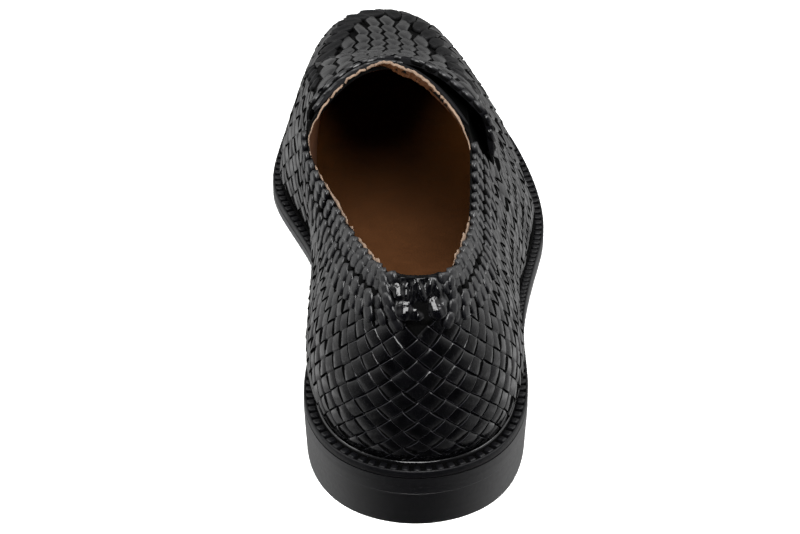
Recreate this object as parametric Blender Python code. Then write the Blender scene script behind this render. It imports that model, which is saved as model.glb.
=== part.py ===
"""Woven loafer for the right foot, modelled the way it is put together.

Pieces: hollow woven upper, saddle strap, insole, storm welt, outsole, heel lift and heel block.
Frame: +X to the outer (lateral) side, +Y to the toe, +Z up, origin under the middle of the footprint.
Tables and sizes are in millimetres; the meshes are written in metres.
"""
import bpy
import numpy as np

MM = 0.001

# Sole: heights above the floor and thicknesses
HEEL_HEIGHT = 15.8        # floor to the underside of the outsole at the heel
HEEL_LIFT = 2.7           # thin lift between the outsole and the heel block
OUTSOLE = 3.5
WELT = 3.0                # flat of the storm welt
HEEL_BREAST = 62.0        # distance from the back of the heel to the front face of the heel block
BREAST_HOLLOW = 5.0       # how far the front face of the heel curves in
ARCH_END = 175.0          # the arch comes down to the floor here
SPRING_START = 205.0      # the toe begins to lift here
TOE_SPRING = 10.0
SPRING_LENGTH = 85.0
SOLE_OUT = 5.2            # sole edge beyond the feather line, where the upper meets the welt
HEEL_TOP_OUT = 4.8
HEEL_FOOT_OUT = 4.3

# Upper
LEATHER = 2.2             # wall of the woven upper
STRIP_RELIEF = 0.9        # height of a raised strip over its neighbours
BRAID_STEP = 1.1          # the braided collar stands this far out
SEAM_RIDGE = 1.8          # the moccasin seam round the vamp stands this far up
SEAM_DIP = 0.6            # and drops this much between two of its loops
SEAM_STRIP = 0.045        # share of the vamp's width taken by the inside of that seam
FOOT_RISE = 0.33          # share of the wall's height where its lower curve is steered

# Saddle strap
STRAP_THICK = 2.0
STRAP_REAR = 0.06         # its edges along the vamp, 0 at the throat and 1 at the toe
STRAP_FRONT = 0.37
STRAP_FOOT = 0.12         # share of the side wall left bare under the strap
STRAP_GAPE = 6.0          # how far its back edge stands off on the outer side
GAPE_CENTRE = 0.66        # where, across the shoe from the inner to the outer side
GAPE_WIDTH = 0.19

# Insole
INSOLE_IN = 2.7           # inside the feather line
INSOLE_RISE = 2.5         # above the welt

CLEAR = 0.3               # gap between pieces that touch
STRAP_CLEAR = 0.5         # gap between the strap and the curved upper

# Mesh steps
COLLAR_STEPS = 28         # along one side, from the heel to the throat
VAMP_STEPS = 40           # along one side, from the throat to the toe
WALL_STEPS = 12           # up the wall
PLUG_ROWS = 24
PLUG_STEPS = 8
PLUG_END = 0.93           # the last row of the vamp top
SMOOTH_SAMPLES = 49       # samples along a rib when it is spaced evenly
RIB_PITCH = 3.7           # welt ribs
BREAST_STEPS = 6
HEEL_STEPS = 40
STRAP_SIDE_STEPS = 11
STRAP_TOP_STEPS = 14
STRAP_ROWS = 6

# One row for each section. x, y: feather point. inset: topline or seam inside the feather line.
# height: above the feather. bulge, shoulder: how full the wall is low and high. lift: height of the shoulder.
COLUMNS = ("x", "y", "inset", "height", "bulge", "shoulder", "lift")
LATERAL = {
    "heel_back": (0.0, 1.0, 7.0, 68.0, 11.0, 4.0, 0.80),
    "heel_round": (20.5, 9.0, 13.0, 65.0, 11.0, 6.0, 0.80),
    "heel_side": (32.0, 32.0, 16.5, 62.5, 11.0, 6.0, 0.80),
    "ankle": (33.5, 70.0, 13.8, 57.0, 10.5, 4.0, 0.80),
    "waist": (37.0, 112.0, 16.0, 64.5, 7.0, 3.0, 0.82),
    "strap": (43.0, 150.0, 22.5, 65.0, 1.0, 0.0, 0.84),
    "ball": (46.0, 178.0, 26.5, 56.0, 0.5, 0.0, 0.86),
    "joint": (42.5, 211.0, 24.5, 45.5, 1.5, 4.0, 0.92),
    "toe_side": (29.5, 252.0, 21.5, 36.0, 2.0, 10.0, 1.00),
    "toe_round": (11.5, 280.0, 17.5, 28.0, 3.0, 13.0, 1.05),
    "toe_tip": (-8.0, 290.0, 15.0, 24.0, 3.0, 12.0, 1.05),
}
MEDIAL = {
    "heel_back": (0.0, 1.0, 7.0, 68.0, 11.0, 4.0, 0.80),
    "heel_round": (-20.2, 9.0, 13.0, 65.0, 11.0, 6.0, 0.80),
    "heel_side": (-31.5, 32.0, 14.5, 62.5, 11.0, 6.0, 0.80),
    "ankle": (-30.5, 70.0, 4.5, 57.0, 11.5, 3.0, 0.80),
    "waist": (-28.5, 114.0, -8.3, 62.5, 8.0, 0.0, 0.82),
    "strap": (-33.5, 160.0, 2.0, 65.5, 7.0, 5.0, 0.84),
    "ball": (-45.0, 195.0, 11.5, 52.0, 3.5, 5.5, 0.86),
    "joint": (-45.8, 220.0, 15.5, 44.5, 2.5, 8.0, 0.92),
    "toe_side": (-38.0, 256.0, 16.5, 37.5, 3.0, 13.0, 1.00),
    "toe_round": (-25.0, 280.0, 14.5, 28.0, 3.0, 13.0, 1.05),
    "toe_tip": (-8.0, 290.0, 15.0, 24.0, 3.0, 12.0, 1.05),
}
THROAT_LATERAL = 127.8    # distance round the feather line from the heel to the throat's two corners
THROAT_MEDIAL = 142.0
SPINE = ((141.0, 94.0), (172.0, 75.0), (225.0, 53.0), (275.0, 43.0))   # steering points, y and z

# Welt section: name, distance out from the feather line, height over the outsole
WELT_SECTION = (
    ("inner_foot", -2.0, CLEAR),
    ("inner_top", -2.0, WELT),
    ("lip_foot", 0.5, WELT),
    ("lip_inside", 1.6, WELT + 1.5),
    ("lip_outside", 2.5, WELT + 1.3),
    ("rib_root", 2.9, WELT + 0.3),
    ("rib_end", 4.8, WELT),
    ("outer_top", SOLE_OUT, WELT - 0.7),
    ("outer_foot", SOLE_OUT, CLEAR),
)
RIB_HEIGHT = 0.7          # crest over trough


def periodic_spline(knots, values, period, at):
    """Smooth closed curve through values at knots, read at the distances in at."""
    count = len(knots)
    gap = np.diff(np.append(knots, knots[0] + period))
    slope = (np.roll(values, -1) - values) / gap
    system = np.zeros((count, count))
    for k in range(count):
        system[k, k - 1] += gap[k - 1]
        system[k, k] += 2 * (gap[k - 1] + gap[k])
        system[k, (k + 1) % count] += gap[k]
    bend = np.linalg.solve(system, 6 * (slope - np.roll(slope, 1)))
    at = np.mod(np.asarray(at, float) - knots[0], period) + knots[0]
    k = np.clip(np.searchsorted(knots, at, side="right") - 1, 0, count - 1)
    step = at - knots[k]
    here, there = bend[k], np.roll(bend, -1)[k]
    first = (np.roll(values, -1)[k] - values[k]) / gap[k] - gap[k] * (2 * here + there) / 6
    return values[k] + step * (first + step * (here / 2 + step * (there - here) / (6 * gap[k])))


def lay_stations():
    """Distance of each station along the feather line, and the closed table of every column."""
    lateral = np.array(list(LATERAL.values()))
    medial = np.array(list(MEDIAL.values()))
    steps = (np.hypot(*np.diff(lateral[:, :2], axis=0).T) + np.hypot(*np.diff(medial[:, :2], axis=0).T)) / 2
    side = np.concatenate([[0.0], np.cumsum(steps)])
    half = side[-1]
    knots = np.concatenate([side, 2 * half - side[-2:0:-1]])
    table = np.concatenate([lateral, medial[-2:0:-1]])
    return half, knots, dict(zip(COLUMNS, table.T))


HALF, KNOTS, TABLE = lay_stations()


def column(name, u):
    """One column of the tables at distance u round the feather line."""
    return periodic_spline(KNOTS, TABLE[name], 2 * HALF, u)


def sole_z(y):
    """Height of the outsole's underside: level heel, arch, level ball, toe spring."""
    fall = np.clip((np.asarray(y, float) - HEEL_BREAST) / (ARCH_END - HEEL_BREAST), 0.0, 1.0)
    lift = np.clip((np.asarray(y, float) - SPRING_START) / SPRING_LENGTH, 0.0, None)
    return HEEL_HEIGHT * (1 - fall * fall * (3 - 2 * fall)) + TOE_SPRING * lift ** 2


def outward(u, step=0.5):
    """Level direction pointing out of the feather line."""
    ahead = np.stack([column("x", u + step), column("y", u + step)], -1)
    behind = np.stack([column("x", u - step), column("y", u - step)], -1)
    along = ahead - behind
    along /= np.linalg.norm(along, axis=-1, keepdims=True)
    return np.stack([along[..., 1], -along[..., 0]], -1)


def outline(u, out, rise):
    """Points at a level distance out from the feather line, rise above the outsole's underside."""
    flat = np.stack([column("x", u), column("y", u)], -1) + outward(u) * out
    return np.concatenate([flat, (sole_z(flat[..., 1]) + rise)[..., None]], -1)


def wall(u, t):
    """Outside of the upper's wall: t is 0 at the feather line and 1 at the topline or seam."""
    u, t = np.broadcast_arrays(np.asarray(u, float), np.asarray(t, float))
    foot = np.stack([column("x", u), column("y", u)], -1)
    low, high, end = 3 * t * (1 - t) ** 2, 3 * t * t * (1 - t), t ** 3
    inset = column("inset", u)
    out = low * column("bulge", u) + high * (column("shoulder", u) - inset) - end * inset
    rise = (low * FOOT_RISE + high * column("lift", u) + end) * column("height", u)
    ground = sole_z(foot[..., 1]) + OUTSOLE + WELT + CLEAR
    return np.concatenate([foot + outward(u) * out[..., None], (ground + rise)[..., None]], -1)


def side_u(w, lateral):
    """Distance round the feather line of vamp row w (0 throat, 1 toe) on one side."""
    throat = THROAT_LATERAL if lateral else THROAT_MEDIAL
    u = throat + (HALF - throat) * np.asarray(w, float)
    return u if lateral else 2 * HALF - u


def vamp_top(w, q):
    """Outside of the vamp's top: w runs from throat to toe, q from the inner to the outer seam."""
    w, q = np.broadcast_arrays(np.asarray(w, float), np.asarray(q, float))
    inner, outer = wall(side_u(w, False), 1.0), wall(side_u(w, True), 1.0)
    middle = (inner + outer) / 2
    weights = ((1 - w) ** 3, 3 * w * (1 - w) ** 2, 3 * w * w * (1 - w), w ** 3)
    crest = middle.copy()
    crest[..., 1] = sum(weight * point[0] for weight, point in zip(weights, SPINE))
    crest[..., 2] = sum(weight * point[1] for weight, point in zip(weights, SPINE))
    dome = (1 - (2 * q - 1) ** 2)[..., None]
    return inner + (outer - inner) * q[..., None] + (crest - middle) * dome


def surface_normal(surface, a, b, step_a, step_b):
    """Unit normal of surface(a, b) from small steps."""
    across = surface(a + step_a, b) - surface(a - step_a, b)
    along = surface(a, b + step_b) - surface(a, b - step_b)
    normal = np.cross(across, along)
    return normal / np.linalg.norm(normal, axis=-1, keepdims=True)


def wall_normal(u, t):
    """Outward normal of the wall."""
    return surface_normal(wall, np.asarray(u, float), np.clip(t, 0.02, 0.98), 0.5, 0.01)


def vamp_normal(w, q):
    """Upward normal of the vamp's top."""
    return -surface_normal(vamp_top, np.clip(w, 0.01, 0.96), np.clip(q, 0.03, 0.97), 0.005, 0.01)


def even_heights(u, steps):
    """Wall parameters that space steps evenly up each rib: an array of len(u) by steps + 1."""
    samples = np.linspace(0, 1, SMOOTH_SAMPLES)
    ribs = wall(np.asarray(u)[:, None], samples[None, :])
    length = np.cumsum(np.linalg.norm(np.diff(ribs, axis=1), axis=-1), axis=1)
    length = np.concatenate([np.zeros((len(u), 1)), length], axis=1)
    share = np.linspace(0, 1, steps + 1)
    return np.array([np.interp(share * row[-1], row, samples) for row in length])


def wall_columns(stride):
    """Distances round the feather line of the wall's columns, and their vamp row or -1 behind the throat."""
    collar = np.arange(0, COLLAR_STEPS, stride) / COLLAR_STEPS
    vamp = np.arange(0, VAMP_STEPS + 1, stride) / VAMP_STEPS
    lateral = np.concatenate([collar * THROAT_LATERAL, side_u(vamp, True)])
    medial = np.concatenate([2 * HALF - collar * THROAT_MEDIAL, side_u(vamp, False)])[-2:0:-1]
    row = np.concatenate([np.full(len(collar), -1.0), vamp])
    return np.concatenate([lateral, medial]), np.concatenate([row, row[-2:0:-1]])


class Shell:
    """Points and triangles of one closed piece."""

    def __init__(self):
        self.points = []
        self.faces = []

    def add(self, points):
        """Store points of any array shape and return their numbers in that shape."""
        points = np.asarray(points, float)
        start = len(self.points)
        flat = points.reshape(-1, 3)
        self.points.extend(flat)
        return np.arange(start, start + len(flat)).reshape(points.shape[:-1])

    def grid(self, ids, flip=False, low=None):
        """Two triangles for each cell of a grid of points; low marks the points its diagonals join."""
        for i in range(ids.shape[0] - 1):
            for j in range(ids.shape[1] - 1):
                a, b, c, d = ids[i, j], ids[i + 1, j], ids[i + 1, j + 1], ids[i, j + 1]
                along_ac = low is None or bool(low[i, j])
                pair = ((a, b, c), (a, c, d)) if along_ac else ((a, b, d), (b, c, d))
                self.faces.extend(face[::-1] if flip else face for face in pair)

    def zip(self, first, second, at_first=None, at_second=None, flip=False):
        """Triangles between two chains of points, matched by how far along each point is."""
        at_first = np.linspace(0, 1, len(first)) if at_first is None else at_first
        at_second = np.linspace(0, 1, len(second)) if at_second is None else at_second
        i = j = 0
        while i < len(first) - 1 or j < len(second) - 1:
            take_first = j == len(second) - 1
            if i < len(first) - 1 and j < len(second) - 1:
                take_first = at_first[i + 1] <= at_second[j + 1]
            if take_first:
                face = (first[i], first[i + 1], second[j])
                i += 1
            else:
                face = (first[i], second[j + 1], second[j])
                j += 1
            self.faces.append(face[::-1] if flip else face)

    def cap(self, ring, flip=False):
        """Close a ring whose halves mirror each other with rungs across the shoe."""
        count = len(ring)
        for k in range(count // 2):
            a, b = ring[k], ring[k + 1]
            c, d = ring[count - k - 1], ring[(count - k) % count]
            for face in ((a, b, c), (a, c, d)):
                if len(set(face)) == 3:
                    self.faces.append(face[::-1] if flip else face)

    def build(self, name, centre, finish):
        """Make the mesh object, moved so that centre is the origin."""
        mesh = bpy.data.meshes.new(name)
        points = (np.array(self.points) - centre) * MM
        mesh.from_pydata(points.tolist(), [], [[int(k) for k in face] for face in self.faces])
        mesh.materials.append(finish)
        mesh.validate()
        mesh.update()
        piece = bpy.data.objects.new(name, mesh)
        bpy.context.scene.collection.objects.link(piece)
        return piece


def finish(name, colour, roughness):
    """A plain dielectric material."""
    material = bpy.data.materials.new(name)
    material.use_nodes = True
    shader = material.node_tree.nodes["Principled BSDF"]
    shader.inputs["Base Color"].default_value = (*colour, 1.0)
    shader.inputs["Roughness"].default_value = roughness
    shader.inputs["Metallic"].default_value = 0.0
    return material


def closed(ids):
    """A grid of columns with the first one repeated at the end."""
    return np.concatenate([ids, ids[:1]])


def under_strap(w):
    """1 where the strap covers the vamp row w, so that the weave lies flat there."""
    return ((w > STRAP_REAR - 0.03) & (w < STRAP_FRONT + 0.03)).astype(float)


def edge_normals(u, row):
    """Normals at the top of the wall, shared with the vamp where it joins."""
    normal = wall_normal(u, 1.0)
    vamp = vamp_normal(np.clip(row, 0, 1), np.where(u <= HALF, 1.0, 0.0))
    shared = normal + np.where(row[:, None] >= 0, vamp, 0.0)
    return shared / np.linalg.norm(shared, axis=-1, keepdims=True)


def add_upper_skin(shell, stride, depth):
    """One side of the upper's wall: the woven outside at stride 1, the plain inside at stride 2."""
    outside = depth == 0
    u, row = wall_columns(stride)
    heights = even_heights(u, WALL_STEPS // stride)
    points = wall(u[:, None], heights)
    normals = wall_normal(u[:, None], heights)
    normals[:, -1] = edge_normals(u, row)
    columns, levels = np.indices(heights.shape)
    low = (columns + levels) % 2 == 1
    if outside:
        lift = np.where(low, 0.0, STRIP_RELIEF) * (levels > 0)
        collar = (row < 0)[:, None] & (levels >= WALL_STEPS - 1)
        seam = (row >= 0)[:, None] & (levels == WALL_STEPS)
        lift = np.where(collar, BRAID_STEP, lift)
        lift = np.where(seam, np.where(columns % 2 == 0, SEAM_RIDGE, SEAM_RIDGE - SEAM_DIP), lift)
        lift = lift * (1 - under_strap(row))[:, None]
        points = points + normals * lift[..., None]
    else:
        points = points - normals * depth
        points[:, 0] = outline(u, -depth, OUTSOLE + WELT + CLEAR)
    ids = shell.add(points)
    ring = closed(ids)
    shell.grid(ring, flip=not outside, low=closed(low) if outside else None)

    rows, steps = PLUG_ROWS // stride, PLUG_STEPS // stride
    w = np.linspace(0, PLUG_END, rows + 1)
    q = np.linspace(SEAM_STRIP, 1 - SEAM_STRIP, steps + 1)
    top = vamp_top(w[:, None], q[None, :])
    up = vamp_normal(w[:, None], q[None, :])
    along, across = np.indices(top.shape[:2])
    low = (along + across) % 2 == 1
    if outside:
        lift = np.where(low, 0.0, STRIP_RELIEF) * (1 - under_strap(w))[:, None]
        lift[[0, -1]] = 0.0
        top = top + up * lift[..., None]
    else:
        top = top - up * depth
    plug = shell.add(top)
    shell.grid(plug, flip=outside, low=low if outside else None)

    throat = COLLAR_STEPS // stride
    toe = throat + VAMP_STEPS // stride
    last = 2 * toe - throat
    seam = ids[throat:last + 1, -1]
    seam_at = np.concatenate([row[throat:toe + 1], 2 - row[toe + 1:last + 1]])
    border = np.concatenate([plug[:, -1], plug[-1, -2:0:-1], plug[::-1, 0]])
    across_toe = np.linspace(PLUG_END, 2 - PLUG_END, steps + 1)[1:-1]
    border_at = np.concatenate([w, across_toe, 2 - w[::-1]])
    shell.zip(seam, border, seam_at, border_at, flip=not outside)

    collar = np.concatenate([ids[last:, -1], ids[:throat + 1, -1]])
    throat_edge = np.concatenate([[ids[last, -1]], plug[0], [ids[throat, -1]]])
    return ids[:, 0], collar, throat_edge


def make_upper(centre, material):
    """Hollow woven upper: wall and vamp top in one, open at the collar and underneath."""
    shell = Shell()
    foot, collar, throat = add_upper_skin(shell, 1, 0.0)
    foot_in, collar_in, throat_in = add_upper_skin(shell, 2, LEATHER)
    shell.zip(np.append(foot_in, foot_in[0]), np.append(foot, foot[0]))
    shell.zip(collar, collar_in)
    shell.zip(throat_in, throat)
    return shell.build("upper", centre, material)


def strap_point(w, k):
    """Upper's surface and normal under the strap on vamp row w; k runs from inner foot to outer foot."""
    side, top = STRAP_SIDE_STEPS, STRAP_TOP_STEPS
    if k <= side:
        t = STRAP_FOOT + (1 - STRAP_FOOT) * k / side
        u = side_u(w, False)
        return wall(u, t), wall_normal(u, t)
    if k < side + top:
        q = (k - side) / top
        return vamp_top(w, q), vamp_normal(w, q)
    t = 1 - (1 - STRAP_FOOT) * (k - side - top) / side
    u = side_u(w, True)
    return wall(u, t), wall_normal(u, t)


def make_strap(centre, material):
    """Saddle strap over the vamp from welt to welt, its back edge standing off on the outer side."""
    count = 2 * STRAP_SIDE_STEPS + STRAP_TOP_STEPS
    under = np.zeros((STRAP_ROWS + 1, count + 1, 3))
    over = np.zeros_like(under)
    for r in range(STRAP_ROWS + 1):
        share = r / STRAP_ROWS
        w = STRAP_REAR + (STRAP_FRONT - STRAP_REAR) * share
        line = [strap_point(w, k) for k in range(count + 1)]
        points = np.array([point for point, _ in line])
        normals = np.array([normal for _, normal in line])
        normals[1:-1] = normals[:-2] + 2 * normals[1:-1] + normals[2:]
        normals /= np.linalg.norm(normals, axis=-1, keepdims=True)
        across = np.linspace(0, 1, count + 1)
        gape = STRAP_GAPE * (1 - share) ** 2 * np.exp(-((across - GAPE_CENTRE) / GAPE_WIDTH) ** 2)
        gape *= np.minimum(1, (1 - across) / 0.1)
        under[r] = points + normals * (STRAP_CLEAR + gape)[:, None]
        over[r] = under[r] + normals * STRAP_THICK
    shell = Shell()
    low, high = shell.add(under), shell.add(over)
    shell.grid(low)
    shell.grid(high, flip=True)
    for side_low, side_high in ((low[0], high[0]), (low[:, -1], high[:, -1]),
                                (low[-1, ::-1], high[-1, ::-1]), (low[::-1, 0], high[::-1, 0])):
        shell.zip(side_low, side_high)
    return shell.build("strap", centre, material)


def make_insole(centre, material):
    """Insole with its filler, lying on the outsole inside the welt and the wall."""
    u, _ = wall_columns(2)
    shell = Shell()
    foot = shell.add(outline(u, -INSOLE_IN, OUTSOLE + CLEAR))
    top = shell.add(outline(u, -INSOLE_IN, OUTSOLE + WELT + INSOLE_RISE))
    shell.grid(closed(np.stack([foot, top], axis=1)))
    shell.cap(foot, flip=True)
    shell.cap(top)
    return shell.build("insole", centre, material)


def make_welt(centre, material):
    """Storm welt: a ring with a raised lip against the upper and ribs across its flat."""
    plain, _ = wall_columns(1)
    ribs = 4 * round(2 * HALF / RIB_PITCH / 2)
    fine = np.arange(ribs) * 2 * HALF / ribs
    wave = np.where(np.arange(ribs) % 2 == 0, RIB_HEIGHT / 2, -RIB_HEIGHT / 2)
    shell = Shell()
    rings = []
    for name, out, rise in WELT_SECTION:
        ribbed = name in ("rib_root", "rib_end")
        at = fine if ribbed else plain
        points = outline(at, out, OUTSOLE + rise)
        if ribbed:
            points[:, 2] += wave
        ids = shell.add(points)
        rings.append((np.append(ids, ids[0]), np.append(at, 2 * HALF)))
    for (first, at_first), (second, at_second) in zip(rings, rings[1:] + rings[:1]):
        shell.zip(second, first, at_second, at_first)
    return shell.build("welt", centre, material)


def make_outsole(centre, material):
    """Leather outsole from heel to toe, arched and sprung, with a chamfered lower edge."""
    u, _ = wall_columns(1)
    shell = Shell()
    sections = ((SOLE_OUT - 0.8, 0.0), (SOLE_OUT, 0.8), (SOLE_OUT, OUTSOLE))
    rings = np.stack([shell.add(outline(u, out, rise)) for out, rise in sections], axis=1)
    shell.grid(closed(rings))
    shell.cap(rings[:, 0], flip=True)
    shell.cap(rings[:, -1])
    return shell.build("outsole", centre, material)


def breast_u(out, lateral):
    """Distance round the feather line where the sole edge crosses the heel's front face."""
    span = np.linspace(0.1, 0.5, 200) * HALF
    u = span if lateral else 2 * HALF - span
    return float(np.interp(HEEL_BREAST, outline(u, out, 0.0)[:, 1], u))


def heel_ring(out, z):
    """Level ring of the heel: round the back along the sole edge, then across the hollow front face."""
    u = np.linspace(breast_u(out, False) - 2 * HALF, breast_u(out, True), HEEL_STEPS + 1)
    round_back = outline(u, out, 0.0)
    share = np.linspace(0, 1, BREAST_STEPS + 1)[1:-1, None]
    front = round_back[-1] + (round_back[0] - round_back[-1]) * share
    front[:, 1] -= BREAST_HOLLOW * (1 - (2 * share[:, 0] - 1) ** 2)
    ring = np.concatenate([round_back, front])
    ring[:, 2] = z
    return ring


def make_heel_piece(name, rings, centre, material):
    """A level piece of the heel lofted through rings, closed by a fan from its middle."""
    shell = Shell()
    ids = np.stack([shell.add(heel_ring(out, z)) for out, z in rings], axis=1)
    shell.grid(closed(ids))
    for level, z, flip in ((0, rings[0][1], True), (-1, rings[-1][1], False)):
        hub = shell.add(np.array([[0.0, HEEL_BREAST / 2, z]]))[0]
        ring = ids[:, level]
        for a, b in zip(ring, np.roll(ring, -1)):
            shell.faces.append((b, a, hub) if flip else (a, b, hub))
    return shell.build(name, centre, material)


def main():
    """Clear the scene and build every piece."""
    for old in list(bpy.data.objects):
        bpy.data.objects.remove(old, do_unlink=True)
    edge = outline(wall_columns(1)[0], SOLE_OUT, 0.0)
    low, high = edge.min(axis=0), edge.max(axis=0)
    centre = np.array([(low[0] + high[0]) / 2, (low[1] + high[1]) / 2, 0.0])

    woven = finish("woven_calf_black", (0.028, 0.028, 0.030), 0.38)
    rubber = finish("heel_rubber_black", (0.022, 0.022, 0.023), 0.55)
    edge_leather = finish("sole_leather_black", (0.024, 0.024, 0.025), 0.42)
    lining = finish("insole_leather_brown", (0.072, 0.030, 0.010), 0.60)

    block_top = HEEL_HEIGHT - HEEL_LIFT - CLEAR
    lift_foot = HEEL_HEIGHT - HEEL_LIFT
    flare = HEEL_TOP_OUT - HEEL_FOOT_OUT
    make_upper(centre, woven)
    make_strap(centre, woven)
    make_insole(centre, lining)
    make_welt(centre, edge_leather)
    make_outsole(centre, edge_leather)
    make_heel_piece("heel_lift", ((HEEL_TOP_OUT, lift_foot), (HEEL_TOP_OUT, HEEL_HEIGHT - CLEAR)),
                    centre, edge_leather)
    make_heel_piece("heel_block", ((HEEL_FOOT_OUT - flare, 0.0), (HEEL_FOOT_OUT, 0.6), (HEEL_TOP_OUT, block_top)),
                    centre, rubber)


main()
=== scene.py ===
"""Woven loafer for the right foot: every piece dressed over its solid, on a plain studio floor.

Sizes and tables are in millimetres in the maker's frame: heel back near y 0, +Y to the toe, +X to the outer
side, +Z up from the floor. Meshes are moved to the middle of the footprint and written in metres.
"""

import logging
from dataclasses import dataclass, field
from enum import Enum
from math import cos, pi, radians, sin
from typing import Callable

import bpy
import numpy as np
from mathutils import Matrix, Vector


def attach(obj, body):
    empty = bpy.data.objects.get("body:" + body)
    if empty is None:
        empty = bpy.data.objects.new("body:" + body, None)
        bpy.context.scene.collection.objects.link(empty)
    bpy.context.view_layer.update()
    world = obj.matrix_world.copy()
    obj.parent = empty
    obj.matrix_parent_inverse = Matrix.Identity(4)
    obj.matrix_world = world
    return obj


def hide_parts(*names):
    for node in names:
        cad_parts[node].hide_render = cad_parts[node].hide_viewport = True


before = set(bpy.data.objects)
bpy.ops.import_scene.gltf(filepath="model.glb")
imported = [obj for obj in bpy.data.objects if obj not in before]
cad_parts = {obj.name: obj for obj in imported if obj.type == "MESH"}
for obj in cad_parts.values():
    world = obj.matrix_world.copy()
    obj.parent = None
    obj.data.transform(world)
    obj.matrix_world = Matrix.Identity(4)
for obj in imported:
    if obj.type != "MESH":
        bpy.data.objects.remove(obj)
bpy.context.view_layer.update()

LOG = logging.getLogger("woven_loafer")
Array = np.ndarray
Sheet = Callable[[Array, Array], tuple[Array, Array]]
MM = 0.001

# One row for each section of the last. x, y: feather point. inset: topline or seam inside the feather line.
# height: above the feather. bulge, shoulder: how full the wall is low and high. lift: height of the shoulder.
LATERAL: dict[str, tuple[float, ...]] = {
    "heel_back": (0.0, 1.0, 7.0, 68.0, 11.0, 4.0, 0.80),
    "heel_round": (20.5, 9.0, 13.0, 65.0, 11.0, 6.0, 0.80),
    "heel_side": (32.0, 32.0, 16.5, 62.5, 11.0, 6.0, 0.80),
    "ankle": (33.5, 70.0, 13.8, 57.0, 10.5, 4.0, 0.80),
    "waist": (37.0, 112.0, 16.0, 64.5, 7.0, 3.0, 0.82),
    "strap": (43.0, 150.0, 22.5, 65.0, 1.0, 0.0, 0.84),
    "ball": (46.0, 178.0, 26.5, 56.0, 0.5, 0.0, 0.86),
    "joint": (42.5, 211.0, 24.5, 45.5, 1.5, 4.0, 0.92),
    "toe_side": (29.5, 252.0, 21.5, 36.0, 2.0, 10.0, 1.00),
    "toe_round": (11.5, 280.0, 17.5, 28.0, 3.0, 13.0, 1.05),
    "toe_tip": (-8.0, 290.0, 15.0, 24.0, 3.0, 12.0, 1.05),
}
MEDIAL: dict[str, tuple[float, ...]] = {
    "heel_back": (0.0, 1.0, 7.0, 68.0, 11.0, 4.0, 0.80),
    "heel_round": (-20.2, 9.0, 13.0, 65.0, 11.0, 6.0, 0.80),
    "heel_side": (-31.5, 32.0, 14.5, 62.5, 11.0, 6.0, 0.80),
    "ankle": (-30.5, 70.0, 4.5, 57.0, 11.5, 3.0, 0.80),
    "waist": (-28.5, 114.0, -8.3, 62.5, 8.0, 0.0, 0.82),
    "strap": (-33.5, 160.0, 2.0, 65.5, 7.0, 5.0, 0.84),
    "ball": (-45.0, 195.0, 11.5, 52.0, 3.5, 5.5, 0.86),
    "joint": (-45.8, 220.0, 15.5, 44.5, 2.5, 8.0, 0.92),
    "toe_side": (-38.0, 256.0, 16.5, 37.5, 3.0, 13.0, 1.00),
    "toe_round": (-25.0, 280.0, 14.5, 28.0, 3.0, 13.0, 1.05),
    "toe_tip": (-8.0, 290.0, 15.0, 24.0, 3.0, 12.0, 1.05),
}
# Steering points of the vamp's ridge, y and z
SPINE: tuple[tuple[float, float], ...] = ((141.0, 94.0), (172.0, 75.0), (225.0, 53.0), (275.0, 43.0))


class Slot(Enum):
    """Material slots of the part's record."""

    WOVEN = "woven_leather"
    INSOLE = "insole_leather"
    WELT = "welt_leather"
    EDGE = "sole_edge"
    HEEL = "heel_rubber"


class Side(Enum):
    """The two sides of the foot."""

    MEDIAL = -1
    LATERAL = 1


def linear(hex_colour: str) -> tuple[float, float, float, float]:
    """Turn an sRGB hex colour into linear red, green, blue and alpha.

    Args:
        hex_colour: Six hex digits after a hash sign.

    Returns:
        The linear colour with alpha 1.
    """
    parts = [int(hex_colour[k:k + 2], 16) / 255 for k in (1, 3, 5)]
    red, green, blue = (c / 12.92 if c <= 0.04045 else ((c + 0.055) / 1.055) ** 2.4 for c in parts)
    return red, green, blue, 1.0


def add_node(tree: bpy.types.NodeTree, kind: str, inputs: dict[str, object] | None = None,
             **settings: object) -> bpy.types.Node:
    """Add a node with its settings, then fill or link its inputs.

    Args:
        tree: The tree that takes the node.
        kind: The node's type name.
        inputs: Values or output sockets by the identifier of the input socket.
        **settings: Properties of the node.

    Returns:
        The new node.
    """
    node = tree.nodes.new(kind)
    for name, value in settings.items():
        setattr(node, name, value)
    for key, value in (inputs or {}).items():
        socket = next(entry for entry in node.inputs if entry.identifier == key)
        if isinstance(value, bpy.types.NodeSocket):
            tree.links.new(value, socket)
        else:
            socket.default_value = value
    return node


def unit(vectors: Array) -> Array:
    """Vectors of length 1 along the given ones."""
    return vectors / np.maximum(np.linalg.norm(vectors, axis=-1, keepdims=True), 1e-9)


def ease(values: Array, low: float, high: float) -> Array:
    """Smooth step from 0 at low to 1 at high."""
    share = np.clip((values - low) / (high - low), 0.0, 1.0)
    return share * share * (3 - 2 * share)


def run_length(path: Array) -> Array:
    """Distance along a path at each of its points, from 0."""
    return np.concatenate([[0.0], np.cumsum(np.linalg.norm(np.diff(path, axis=0), axis=-1))])


def blurred(ring: Array) -> Array:
    """Values round a closed line, each averaged with its neighbours."""
    return (np.roll(ring, 1, axis=0) + 2 * ring + np.roll(ring, -1, axis=0)) / 4


def show(name: str, data: bpy.types.ID) -> bpy.types.Object:
    """Put a new object in the scene.

    Args:
        name: The object's name.
        data: Its mesh, light or camera.

    Returns:
        The new object.
    """
    made = bpy.data.objects.new(name, data)
    bpy.context.scene.collection.objects.link(made)
    return made


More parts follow.
